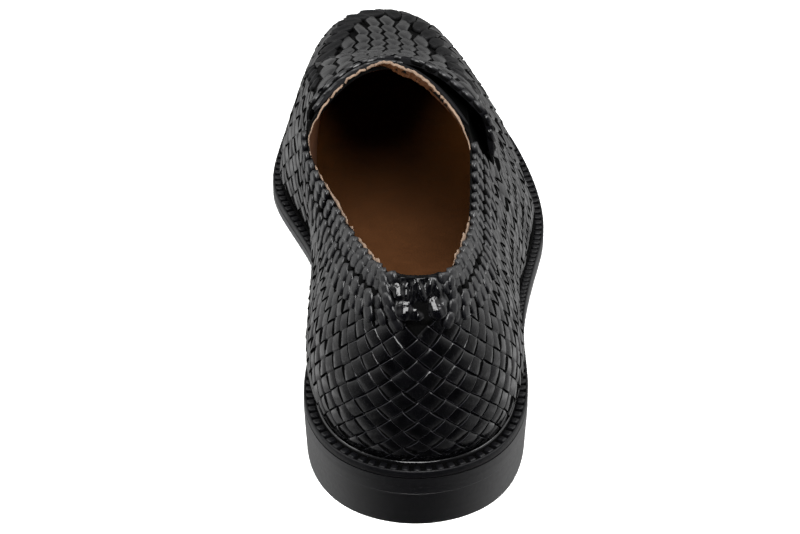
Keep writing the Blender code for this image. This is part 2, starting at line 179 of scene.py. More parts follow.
def new_shader(name: str) -> tuple[bpy.types.Material, bpy.types.NodeTree, bpy.types.bpy_prop_collection]:
    """Start a node-based material.

    Args:
        name: The material's name.

    Returns:
        The material, its tree and the inputs of its shader.
    """
    material = bpy.data.materials.new(name)
    material.use_nodes = True
    return material, material.node_tree, material.node_tree.nodes["Principled BSDF"].inputs


@dataclass(frozen=True)
class LeatherFinish:
    """Leather dyed through and dressed on top: a grain of fine pebbles, soft creases and a waxy gloss.

    The tone attribute of a piece makes each strip a little lighter and duller than the next, and its edge
    attribute marks cut edges, which turn grey: partly worn dye, partly a painted highlight along them.
    """

    name: str
    dark: str
    light: str
    worn_and_highlight: str
    rough_low: float
    rough_high: float
    grain_mm: float = 1.1
    crease_mm: float = 7.0
    grain_depth_mm: float = 0.05
    crease_depth_mm: float = 0.18
    specular: float = 0.5
    cut_rough: float = 0.55
    cloud_low: float = 0.3
    cloud_high: float = 1.1

    def build(self) -> bpy.types.Material:
        """Make the material.

        Returns:
            The node-based material.
        """
        material, tree, shader = new_shader(self.name)
        shader["Specular IOR Level"].default_value = self.specular
        place = add_node(tree, "ShaderNodeTexCoord").outputs["Object"]
        tone = add_node(tree, "ShaderNodeAttribute", attribute_name="tone").outputs["Fac"]
        edge = add_node(tree, "ShaderNodeAttribute", attribute_name="edge").outputs["Fac"]
        grain = add_node(tree, "ShaderNodeTexVoronoi", {"Vector": place, "Scale": 1000 / self.grain_mm},
                         feature="SMOOTH_F1").outputs["Distance"]
        crease = add_node(tree, "ShaderNodeTexNoise", {
            "Vector": place, "Scale": 1000 / self.crease_mm, "Detail": 3.0, "Distortion": 0.8}).outputs["Fac"]
        cloud = add_node(tree, "ShaderNodeMath", {"Value": tone, "Value_001": crease, "Value_002": crease},
                         operation="MULTIPLY_ADD").outputs[0]
        dye = add_node(tree, "ShaderNodeMix", {
            "Factor_Float": cloud, "A_Color": linear(self.dark), "B_Color": linear(self.light)},
            data_type="RGBA").outputs[2]
        # Cut edges go grey: worn dye, and a painted highlight along the edges
        worn_and_highlight = add_node(tree, "ShaderNodeMix", {
            "Factor_Float": edge, "A_Color": dye, "B_Color": linear(self.worn_and_highlight)}, data_type="RGBA").outputs[2]
        gloss = add_node(tree, "ShaderNodeMapRange", {
            "Value": cloud, "From Min": self.cloud_low, "From Max": self.cloud_high,
            "To Min": self.rough_low, "To Max": self.rough_high}).outputs["Result"]
        dull = add_node(tree, "ShaderNodeMix", {
            "Factor_Float": edge, "A_Float": gloss, "B_Float": self.cut_rough}, data_type="FLOAT").outputs[0]
        soft = add_node(tree, "ShaderNodeBump", {
            "Strength": 1.0, "Distance": self.crease_depth_mm * MM, "Height": crease}).outputs["Normal"]
        fine = add_node(tree, "ShaderNodeBump", {
            "Strength": 1.0, "Distance": self.grain_depth_mm * MM, "Height": grain,
            "Normal": soft}).outputs["Normal"]
        for label, output in (("Base Color", worn_and_highlight), ("Roughness", dull), ("Normal", fine)):
            tree.links.new(output, shader[label])
        return material


@dataclass(frozen=True)
class LayeredEdge:
    """Trimmed and waxed edge: fine level lines of the layers under a satin black dressing."""

    name: str
    dark: str
    light: str
    rough: float
    layer_mm: float
    specular: float
    layer_stretch: float = 0.04
    pore_mm: float = 1.4
    layer_depth_mm: float = 0.06
    pore_depth_mm: float = 0.04
    smoother: float = 0.08
    rougher: float = 0.1

    def build(self) -> bpy.types.Material:
        """Make the material.

        Returns:
            The node-based material.
        """
        material, tree, shader = new_shader(self.name)
        shader["Specular IOR Level"].default_value = self.specular
        place = add_node(tree, "ShaderNodeTexCoord").outputs["Object"]
        flat = add_node(tree, "ShaderNodeMapping", {
            "Vector": place, "Scale": (self.layer_stretch, self.layer_stretch, 1.0)}).outputs["Vector"]
        layers = add_node(tree, "ShaderNodeTexNoise", {
            "Vector": flat, "Scale": 1000 / self.layer_mm, "Detail": 2.0}).outputs["Fac"]
        pores = add_node(tree, "ShaderNodeTexNoise", {
            "Vector": place, "Scale": 1000 / self.pore_mm, "Detail": 3.0}).outputs["Fac"]
        dye = add_node(tree, "ShaderNodeMix", {
            "Factor_Float": layers, "A_Color": linear(self.dark), "B_Color": linear(self.light)},
            data_type="RGBA").outputs[2]
        gloss = add_node(tree, "ShaderNodeMapRange", {
            "Value": pores, "To Min": self.rough - self.smoother,
            "To Max": self.rough + self.rougher}).outputs["Result"]
        lines = add_node(tree, "ShaderNodeBump", {
            "Strength": 1.0, "Distance": self.layer_depth_mm * MM, "Height": layers}).outputs["Normal"]
        pits = add_node(tree, "ShaderNodeBump", {
            "Strength": 1.0, "Distance": self.pore_depth_mm * MM, "Height": pores,
            "Normal": lines}).outputs["Normal"]
        for label, output in (("Base Color", dye), ("Roughness", gloss), ("Normal", pits)):
            tree.links.new(output, shader[label])
        return material


@dataclass(frozen=True)
class LightTable:
    """White table lit from below: keeps the ground as white as a cut-out, with hardly a shadow."""

    name: str = "light_table_white"
    colour: str = "#f6f6f6"
    rough: float = 0.9
    glow: float = 0.4

    def build(self) -> bpy.types.Material:
        """Make the material.

        Returns:
            The node-based material.
        """
        material, _, shader = new_shader(self.name)
        shader["Base Color"].default_value = linear(self.colour)
        shader["Roughness"].default_value = self.rough
        shader["Emission Color"].default_value = linear(self.colour)
        shader["Emission Strength"].default_value = self.glow
        return material


# Polished calf cut in strips: near black, mirror-like where pulled tight, grey cut edges from wear and
# painted highlight
STRIP_CALF = LeatherFinish("calf_strips_polished_black", "#010101", "#030304", "#1c1c20", 0.1, 0.27,
                           specular=0.43)
# The same calf where strips turn back at the collar and the strap's edge: softer, so broader highlights
BRAID_CALF = LeatherFinish("calf_braid_turned_black", "#010102", "#060608", "#2c2c30", 0.18, 0.38)
# Strip loops of the moccasin seam: rubbed down with cream, so deep black with a low sheen
SEAM_CALF = LeatherFinish("calf_seam_creamed_black", "#010102", "#040405", "#141416", 0.42, 0.58,
                          specular=0.15)
# Calf crumpled where the strips bunch up at the heel: the same polish, broken by fine wrinkles
GATHER_CALF = LeatherFinish("calf_gathered_black", "#010102", "#050506", "#2e2e32", 0.08, 0.2, crease_mm=3.2,
                            crease_depth_mm=0.3)
# Thin folded binding: dull black with a faint sheen
BINDING = LeatherFinish("folded_binding_black", "#030304", "#08080a", "#0c0c0e", 0.5, 0.65, specular=0.1)
# Underlay between the strips, near black and matt; also used as painted shade in gaps, creases and troughs
UNDERLAY_AND_SHADE = LeatherFinish("split_leather_underlay_and_painted_shade_black", "#020202", "#040404", "#040404", 0.8, 0.95,
                         specular=0.06)
# Smooth brown lining: warm, close grained, almost matt
LINING = LeatherFinish("lining_calf_brown", "#543218", "#69401e", "#69401e", 0.55, 0.7, grain_mm=0.9)
# Lining of the walls: thin kid, darker than the insole's cover
WALL_LINING = LeatherFinish("lining_kid_brown", "#38200f", "#482a14", "#482a14", 0.55, 0.7, grain_mm=0.9)
# Raw cut edge of vegetable tanned leather: pale, fibrous and dry
RAW_EDGE = LeatherFinish("raw_cut_edge_tan", "#625143", "#846f5e", "#846f5e", 0.8, 0.95, grain_mm=0.8,
                         crease_mm=2.4, grain_depth_mm=0.08, crease_depth_mm=0.25)
# Welt leather pressed with a hot wheel: black, waxed, crisp
WELT_WAX = LeatherFinish("welt_leather_waxed_black", "#020203", "#070709", "#18181b", 0.38, 0.52,
                         specular=0.22)
# Lip of the welt behind the heel: rubbed with a hot iron, so it glints along its crest
WELT_LIP = LeatherFinish("welt_lip_ironed_black", "#010102", "#040405", "#18181b", 0.16, 0.26)
# Sole edge: trimmed, dyed and burnished
SOLE_EDGE = LayeredEdge("sole_edge_burnished_black", "#030304", "#09090b", 0.4, 0.9, 0.8)
# Moulded rubber heel: satin, with the faint flow lines of the mould
HEEL_RUBBER = LayeredEdge("heel_rubber_moulded_black", "#020203", "#060608", 0.4, 1.6, 1.0)

Finish = LeatherFinish | LayeredEdge | LightTable


@dataclass
class LoaferForm:
    """Shape of the shoe: the last's surface, the sole's heights and the outlines that follow them."""

    heel_height: float = 15.8
    heel_lift: float = 2.7
    outsole: float = 3.5
    welt: float = 3.0
    heel_breast: float = 62.0
    breast_hollow: float = 5.0
    arch_end: float = 175.0
    spring_start: float = 205.0
    toe_spring: float = 10.0
    spring_length: float = 85.0
    sole_out: float = 5.2
    clear: float = 0.3
    foot_rise: float = 0.33
    throat_lateral: float = 127.8
    throat_medial: float = 142.0

    def __post_init__(self) -> None:
        """Lay the stations along the feather line and solve the spline through them."""
        lateral = np.array(list(LATERAL.values()))
        medial = np.array(list(MEDIAL.values()))
        steps = np.hypot(*np.diff(lateral[:, :2], axis=0).T) + np.hypot(*np.diff(medial[:, :2], axis=0).T)
        side = np.concatenate([[0.0], np.cumsum(steps / 2)])
        self.half = float(side[-1])
        self.knots = np.concatenate([side, 2 * self.half - side[-2:0:-1]])
        self.values = np.concatenate([lateral, medial[-2:0:-1]])
        count = len(self.knots)
        self.gap = np.diff(np.append(self.knots, 2 * self.half))
        slope = (np.roll(self.values, -1, axis=0) - self.values) / self.gap[:, None]
        system = np.zeros((count, count))
        for k in range(count):
            system[k, k - 1] += self.gap[k - 1]
            system[k, k] += 2 * (self.gap[k - 1] + self.gap[k])
            system[k, (k + 1) % count] += self.gap[k]
        self.bend = np.linalg.solve(system, 6 * (slope - np.roll(slope, 1, axis=0)))
        edge = self.outline(np.linspace(0, 2 * self.half, 1441), self.sole_out, 0.0)
        low, high = edge.min(axis=0), edge.max(axis=0)
        self.centre = np.array([(low[0] + high[0]) / 2, (low[1] + high[1]) / 2, 0.0])

    def stations(self, u: Array) -> Array:
        """Every column of the tables at distance u round the feather line.

        Args:
            u: Distances from the heel back, towards the lateral side first.

        Returns:
            The seven columns on a last axis.
        """
        at = np.mod(np.asarray(u, float), 2 * self.half)
        k = np.clip(np.searchsorted(self.knots, at, side="right") - 1, 0, len(self.knots) - 1)
        step, gap = (at - self.knots[k])[..., None], self.gap[k][..., None]
        here, there = self.bend[k], np.roll(self.bend, -1, axis=0)[k]
        rise = np.roll(self.values, -1, axis=0)[k] - self.values[k]
        first = rise / gap - gap * (2 * here + there) / 6
        return self.values[k] + step * (first + step * (here / 2 + step * (there - here) / (6 * gap)))

    def sole_z(self, y: Array) -> Array:
        """Height of the outsole's underside: level heel, arch, level ball, toe spring.

        Args:
            y: Distances from the heel back.

        Returns:
            Heights over the floor.
        """
        y = np.asarray(y, float)
        fall = ease(y, self.heel_breast, self.arch_end)
        lift = np.clip((y - self.spring_start) / self.spring_length, 0.0, None)
        return self.heel_height * (1 - fall) + self.toe_spring * lift ** 2

    def outward(self, u: Array) -> Array:
        """Level direction pointing out of the feather line.

        Args:
            u: Distances round the feather line.

        Returns:
            Unit vectors on a last axis of two.
        """
        ahead, back = self.stations(np.asarray(u) + 0.5), self.stations(np.asarray(u) - 0.5)
        along = unit(ahead[..., :2] - back[..., :2])
        return np.stack([along[..., 1], -along[..., 0]], -1)

    def from_heel(self, u: Array) -> Array:
        """Distance from the heel back, positive on the lateral side and negative on the medial."""
        return np.mod(u + self.half, 2 * self.half) - self.half

    def outline(self, u: Array, out: float | Array, rise: float | Array) -> Array:
        """Points out from the feather line and above the outsole's underside.

        Args:
            u: Distances round the feather line.
            out: Level distance outwards.
            rise: Height over the underside.

        Returns:
            Points on a last axis of three.
        """
        flat = self.stations(u)[..., :2] + self.outward(u) * np.asarray(out, float)[..., None]
        return np.concatenate([flat, (self.sole_z(flat[..., 1]) + rise)[..., None]], -1)

    def wall(self, u: Array, t: Array) -> Array:
        """Outside of the upper's wall.

        Args:
            u: Distances round the feather line.
            t: 0 at the feather line and 1 at the topline or seam.

        Returns:
            Points on a last axis of three.
        """
        u, t = np.broadcast_arrays(np.asarray(u, float), np.asarray(t, float))
        table = self.stations(u)
        inset, height, bulge, shoulder, lift = (table[..., k] for k in range(2, 7))
        low, high, end = 3 * t * (1 - t) ** 2, 3 * t * t * (1 - t), t ** 3
        out = low * bulge + high * (shoulder - inset) - end * inset
        rise = (low * self.foot_rise + high * lift + end) * height
        ground = self.sole_z(table[..., 1]) + self.outsole + self.welt + self.clear
        flat = table[..., :2] + self.outward(u) * out[..., None]
        return np.concatenate([flat, (ground + rise)[..., None]], -1)

    def side_u(self, w: Array, side: Side) -> Array:
        """Distance round the feather line of a vamp row on one side.

        Args:
            w: 0 at the throat and 1 at the toe.
            side: The side of the foot.

        Returns:
            Distances from the heel back, towards the lateral side first.
        """
        throat = self.throat_lateral if side is Side.LATERAL else self.throat_medial
        u = throat + (self.half - throat) * np.asarray(w, float)
        return u if side is Side.LATERAL else 2 * self.half - u

    def vamp_row(self, u: Array) -> Array:
        """Vamp row of a distance round the feather line.

        Args:
            u: Distances round the feather line.

        Returns:
            0 at the throat, 1 at the toe, and below 0 behind the throat.
        """
        u = np.mod(u, 2 * self.half)
        lateral = (u - self.throat_lateral) / (self.half - self.throat_lateral)
        medial = (2 * self.half - u - self.throat_medial) / (self.half - self.throat_medial)
        return np.where(u <= self.half, lateral, medial)

    def vamp_top(self, w: Array, q: Array) -> Array:
        """Outside of the vamp's top.

        Args:
            w: 0 at the throat and 1 at the toe.
            q: 0 at the medial seam and 1 at the lateral seam.

        Returns:
            Points on a last axis of three.
        """
        w, q = np.broadcast_arrays(np.asarray(w, float), np.asarray(q, float))
        inner = self.wall(self.side_u(w, Side.MEDIAL), 1.0)
        outer = self.wall(self.side_u(w, Side.LATERAL), 1.0)
        middle = (inner + outer) / 2
        weights = ((1 - w) ** 3, 3 * w * (1 - w) ** 2, 3 * w * w * (1 - w), w ** 3)
        crest = middle.copy()
        crest[..., 1] = sum(weight * point[0] for weight, point in zip(weights, SPINE))
        crest[..., 2] = sum(weight * point[1] for weight, point in zip(weights, SPINE))
        dome = (1 - (2 * q - 1) ** 2)[..., None]
        return inner + (outer - inner) * q[..., None] + (crest - middle) * dome

    def wall_normal(self, u: Array, t: Array) -> Array:
        """Outward normal of the wall.

        Args:
            u: Distances round the feather line.
            t: 0 at the feather line and 1 at the topline or seam.

        Returns:
            Directions on a last axis of three.
        """
        t = np.clip(t, 0.02, 0.98)
        along = self.wall(u + 0.5, t) - self.wall(u - 0.5, t)
        up = self.wall(u, t + 0.01) - self.wall(u, t - 0.01)
        return unit(np.cross(along, up))

    def vamp_normal(self, w: Array, q: Array) -> Array:
        """Upward normal of the vamp's top.

        Args:
            w: 0 at the throat and 1 at the toe.
            q: 0 at the medial seam and 1 at the lateral seam.

        Returns:
            Directions on a last axis of three.
        """
        w, q = np.clip(w, 0.01, 0.96), np.clip(q, 0.03, 0.97)
        along = self.vamp_top(w + 0.005, q) - self.vamp_top(w - 0.005, q)
        across = self.vamp_top(w, q + 0.01) - self.vamp_top(w, q - 0.01)
        return unit(np.cross(across, along))


@dataclass
class MeshData:
    """Points, faces, finish numbers and point attributes of one piece."""

    points: Array
    faces: Array | list[list[int]]
    finish: Array | None = None
    attributes: dict[str, Array] = field(default_factory=dict)


def grid_faces(ids: Array, wrap: bool = False) -> Array:
    """Four-sided faces of a grid of point numbers.

    Args:
        ids: Point numbers in rows and columns.
        wrap: Whether the last row joins the first.

    Returns:
        One row of four point numbers for each face.
    """
    if wrap:
        ids = np.concatenate([ids, ids[:1]])
    return np.stack([ids[:-1, :-1], ids[1:, :-1], ids[1:, 1:], ids[:-1, 1:]], -1).reshape(-1, 4)


def thick_sheet(outside: Array, inside: Array, wrap: bool) -> MeshData:
    """Close two matching grids of points into a sheet with thickness.

    Args:
        outside: Grid of points on the outer face.
        inside: The same grid on the inner face.
        wrap: Whether the sheet closes on itself along its first axis.

    Returns:
        The closed sheet, with finish 0 outside, 1 inside and 2 on the rims.
    """
    shape = outside.shape[:2]
    outer = np.arange(shape[0] * shape[1]).reshape(shape)
    inner = outer + outer.size
    ring_out = np.concatenate([outer, outer[:1]]) if wrap else outer
    ring_in = np.concatenate([inner, inner[:1]]) if wrap else inner
    rims = [np.stack([ring_out[:-1, -1], ring_out[1:, -1], ring_in[1:, -1], ring_in[:-1, -1]], -1),
            np.stack([ring_out[:-1, 0], ring_in[:-1, 0], ring_in[1:, 0], ring_out[1:, 0]], -1)]
    if not wrap:
        rims.append(np.stack([outer[0, :-1], outer[0, 1:], inner[0, 1:], inner[0, :-1]], -1))
        rims.append(np.stack([outer[-1, :-1], inner[-1, :-1], inner[-1, 1:], outer[-1, 1:]], -1))
    parts = [grid_faces(ring_out), grid_faces(ring_in)[:, ::-1], np.concatenate(rims)]
    finish = np.concatenate([np.full(len(part), k) for k, part in enumerate(parts)])
    points = np.concatenate([outside.reshape(-1, 3), inside.reshape(-1, 3)])
    return MeshData(points, np.concatenate(parts), finish)


class Bench:
    """Turns mesh data into finished pieces of the part."""

    def __init__(self, form: LoaferForm) -> None:
        """Keep the form whose centre becomes the origin."""
        self.form = form
        self.made: dict[str, bpy.types.Material] = {}

    def finish(self, finish: Finish) -> bpy.types.Material:
        """Look up the material of a finish, made at its first use.

        Args:
            finish: The finish.

        Returns:
            Its material.
        """
        if finish.name not in self.made:
            self.made[finish.name] = finish.build()
        return self.made[finish.name]

    def local(self, points: Array) -> Array:
        """Points in the part's frame, in metres."""
        return (points - self.form.centre) * MM

    def piece(self, name: str, data: MeshData, finishes: list[Finish], slot: Slot,
              sharp: float = 50.0) -> bpy.types.Object:
        """Make one piece that rides on the shoe's body.

        Args:
            name: The piece's name.
            data: Its mesh in the maker's frame.
            finishes: Its finishes, in the order of the mesh's finish numbers.
            slot: The record's material slot; not used.
            sharp: Edges steeper than this many degrees stay crisp.

        Returns:
            The new object.
        """
        mesh = bpy.data.meshes.new(name)
        faces = data.faces if isinstance(data.faces, list) else data.faces.tolist()
        mesh.from_pydata(self.local(data.points).tolist(), [], faces)
        for finish in finishes:
            mesh.materials.append(self.finish(finish))
        if data.finish is not None:
            numbers = np.minimum(data.finish, len(finishes) - 1).astype(np.int32)
            mesh.polygons.foreach_set("material_index", numbers)
        for key, values in data.attributes.items():
            column = mesh.attributes.new(key, "FLOAT", "POINT").data
            column.foreach_set("value", values.astype(np.float32))
        mesh.polygons.foreach_set("use_smooth", np.ones(len(mesh.polygons), bool))
        mesh.update()
        mesh.set_sharp_from_angle(angle=radians(sharp))
        made = show(name, mesh)
        self.hand_over(made)
        return made

    def hand_over(self, made: bpy.types.Object) -> None:
        """Let a finished piece ride on the shoe's body.

        Args:
            made: The piece.
        """
        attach(made, "root")
        LOG.info("%s: %d faces", made.name, len(made.data.polygons))


@dataclass(frozen=True)
class StripWeave:
    """Plain diagonal weave: each visible strip is crowned, and dives under its neighbours at both ends.

    relief, thickness, crown: heights of a strip. fill, reach: its half width and half length as shares of its
    crossing. tilt, lean: how far strips tip by chance, and where they are loose. dive, dive_power: how deep
    and how late the ends go under. parting, crisp, cleaner: how far loose strips part, sharpen at their cut
    edges and lose the grey there.
    """

    relief: float = 0.75
    thickness: float = 1.4
    crown: float = 0.05
    fill: float = 0.91
    tilt: float = 0.17
    reach: float = 1.14
    lean: float = 0.15
    dive: float = 1.45
    dive_power: float = 5.0
    parting: float = 0.012
    crisp: float = 0.09
    cleaner: float = 0.85
    seed: int = 11

    def lay(self, sheet: Sheet, i: Array, j: Array, height: Array, loose: Array) -> MeshData:
        """Lay one strip over every crossing.

        Args:
            sheet: Gives points and normals at lattice columns and rows.
            i: Lattice column of each crossing.
            j: Lattice row of each crossing.
            height: Share of the full relief at each crossing.
            loose: How far gaps open at each crossing, up to 1, and towards which side strips lean (its sign).

        Returns:
            All the strips, with finish 1 on their cut sides, a tone for each and an edge mark for each point.
        """
        chance = np.random.default_rng(self.seed)
        count = len(i)
        # Stations along a strip and across it; the first and last across are the feet of its cut sides
        p = np.array([-1.0, -0.86, -0.6, 0.0, 0.6, 0.86, 1.0]) * self.reach
        q = np.array([-1.0, -1.0, -0.965, -0.88, 0.0, 0.88, 0.965, 1.0, 1.0])
        drop = np.array([-self.thickness, -0.12, -0.02, 0.0, self.crown, 0.0, -0.02, -0.12, -self.thickness])
        # Edge mark across a strip: grey at its cut edges, worn dye and a painted highlight
        mark = np.array([0.0, 1.0, 0.35, 0.0, 0.0, 0.0, 0.35, 1.0, 0.0])
        slack = np.abs(loose)
        way = np.where(i % 2 == 0, 1.0, -1.0)[:, None, None]
        wide = (self.fill - self.parting * slack + chance.uniform(-0.035, 0.02, count))[:, None, None]
        skew = chance.uniform(-0.05, 0.05, count)[:, None, None]
        shift = chance.uniform(-0.03, 0.03, count)[:, None, None]
        along = p[None, :, None]
        across = q[None, None, :] * wide + skew * along + shift
        a = i[:, None, None] + 0.5 * (way * along - across)
        b = j[:, None, None] + 0.5 * (along + way * across)
        points, normals = sheet(a, b)
        dive = 1 - self.dive * np.abs(p / self.reach) ** self.dive_power
        tilt = (chance.normal(0, self.tilt, count) + self.lean * loose)[:, None, None] * q[None, None, :]
        roll = chance.normal(0, self.tilt, count)[:, None, None] * p[None, :, None]
        rim = np.where((drop > -1) & (drop < -0.05), self.crisp, 0.0)[None, None, :] * slack[:, None, None]
        form = self.relief * dive[None, :, None] + drop[None, None, :] + rim
        raised = (form + tilt + roll) * height[:, None, None]
        points = points + normals * raised[..., None]
        cell = np.arange(p.size * q.size)
        faces = grid_faces(cell.reshape(p.size, q.size)) + (np.arange(count) * cell.size)[:, None, None]
        # Cut sides take the underlay's matt black: dyed edges, dulled as painted shade in the gaps between
        # strips
        wall = np.tile([1] + [0] * (q.size - 3) + [1], (p.size - 1) * count)
        tone = np.repeat(chance.uniform(0, 1, count), cell.size)
        edge = np.tile(mark, p.size * count) * np.repeat(1 - self.cleaner * slack, cell.size)
        return MeshData(points.reshape(-1, 3), faces.reshape(-1, 4), wall, {"tone": tone, "edge": edge})


@dataclass(frozen=True)
class VampPlait:
    """Lengthwise columns of plump six-sided cells, parted by zigzag gaps, as on the vamp's top.

    relief, thickness: heights of a cell. wide, narrow: its half widths at the middle and the ends. slant,
    swing: how far it leans by its column and by chance. lap, dive: how its front end goes under and both ends
    sink. roll: how far it tips by chance.
    """

    relief: float = 1.1
    thickness: float = 2.2
    wide: float = 0.57
    narrow: float = 0.27
    slant: float = 0.1
    swing: float = 0.04
    lap: float = 0.1
    dive: float = 0.14
    roll: float = 0.12
    seed: int = 23

    def lay(self, sheet: Sheet, i: Array, j: Array) -> MeshData:
        """Lay one cell on every crossing.

        Args:
            sheet: Gives points and normals at lattice columns and rows.
            i: Lattice column of each cell.
            j: Lattice row of each cell.

        Returns:
            All the cells, with finish 1 on their cut sides and a tone for each.
        """
        chance = np.random.default_rng(self.seed)
        count = len(i)
        # Stations across a cell, whose first and last are the feet of its cut sides, and along it
        p = np.array([-1.0, -1.0, -0.86, -0.5, 0.5, 0.86, 1.0, 1.0])
        q = np.array([-1.2, -0.95, -0.5, 0.0, 0.5, 0.95, 1.2])
        half = self.wide - (self.wide - self.narrow) * np.abs(q)
        lean = np.where(i % 2 == 0, self.slant, -self.slant)[:, None, None]
        swing = chance.uniform(-self.swing, self.swing, count)[:, None, None]
        a = i[:, None, None] - p[None, :, None] * half[None, None, :]
        b = j[:, None, None] + q[None, None, :] + (lean + swing) * p[None, :, None]
        points, normals = sheet(a, b)
        drop = np.array([-self.thickness, -0.85, -0.3, 0.12, 0.12, -0.3, -0.85, -self.thickness])
        dive = 1 - self.dive * np.abs(q) ** 4 - self.lap * q
        roll = chance.normal(0, self.roll, count)[:, None, None] * p[None, :, None]
        raised = self.relief * dive[None, None, :] + drop[None, :, None] + roll
        points = points + normals * raised[..., None]
        cell = np.arange(p.size * q.size)
        single = grid_faces(cell.reshape(p.size, q.size))[:, ::-1]
        faces = single + (np.arange(count) * cell.size)[:, None, None]
        # Cut sides take the underlay's matt black: dyed edges, dulled as painted shade in the gaps between
        # cells
        wall = np.tile(np.repeat([1] + [0] * (p.size - 3) + [1], q.size - 1), count)
        tone = np.repeat(chance.uniform(0, 1, count), cell.size)
        return MeshData(points.reshape(-1, 3), faces.reshape(-1, 4), wall, {"tone": tone})


# Distances out and up of the corners of a swept band's section
Section = tuple[tuple[float, float], ...]


def sweep(path: Array, out: Array, up: Array, section: Section, size: Array) -> MeshData:
    """Sweep a closed section along an open path.

    Args:
        path: Points of the path.
        out: Outward direction at each point.
        up: Second direction of the section at each point.
        section: Distances along out and up, turning from out to up.
        size: Scale of the section at each point.

    Returns:
        The closed tube.
    """
    shape = np.array(section)
    points = (path[:, None] + out[:, None] * (shape[:, 0] * size[:, None])[..., None]
              + up[:, None] * (shape[:, 1] * size[:, None])[..., None])
    ids = np.arange(points.shape[0] * points.shape[1]).reshape(points.shape[:2])
    ring = np.concatenate([ids, ids[:, :1]], axis=1)
    ends = [ids[0].tolist(), ids[-1, ::-1].tolist()]
    return MeshData(points.reshape(-1, 3), [*grid_faces(ring).tolist(), *ends])


@dataclass
class Guides:
    """Places for small repeated forms: where each lies, which way it runs, which way it stands, how big."""

    points: Array
    along: Array
    out: Array
    size: Array


def turned(along: Array, out: Array, degrees: Array) -> Array:
    """Directions turned about the given axes."""
    angle = np.radians(np.broadcast_to(degrees, along.shape[:-1]))[..., None]
    return along * np.cos(angle) + np.cross(out, along) * np.sin(angle)


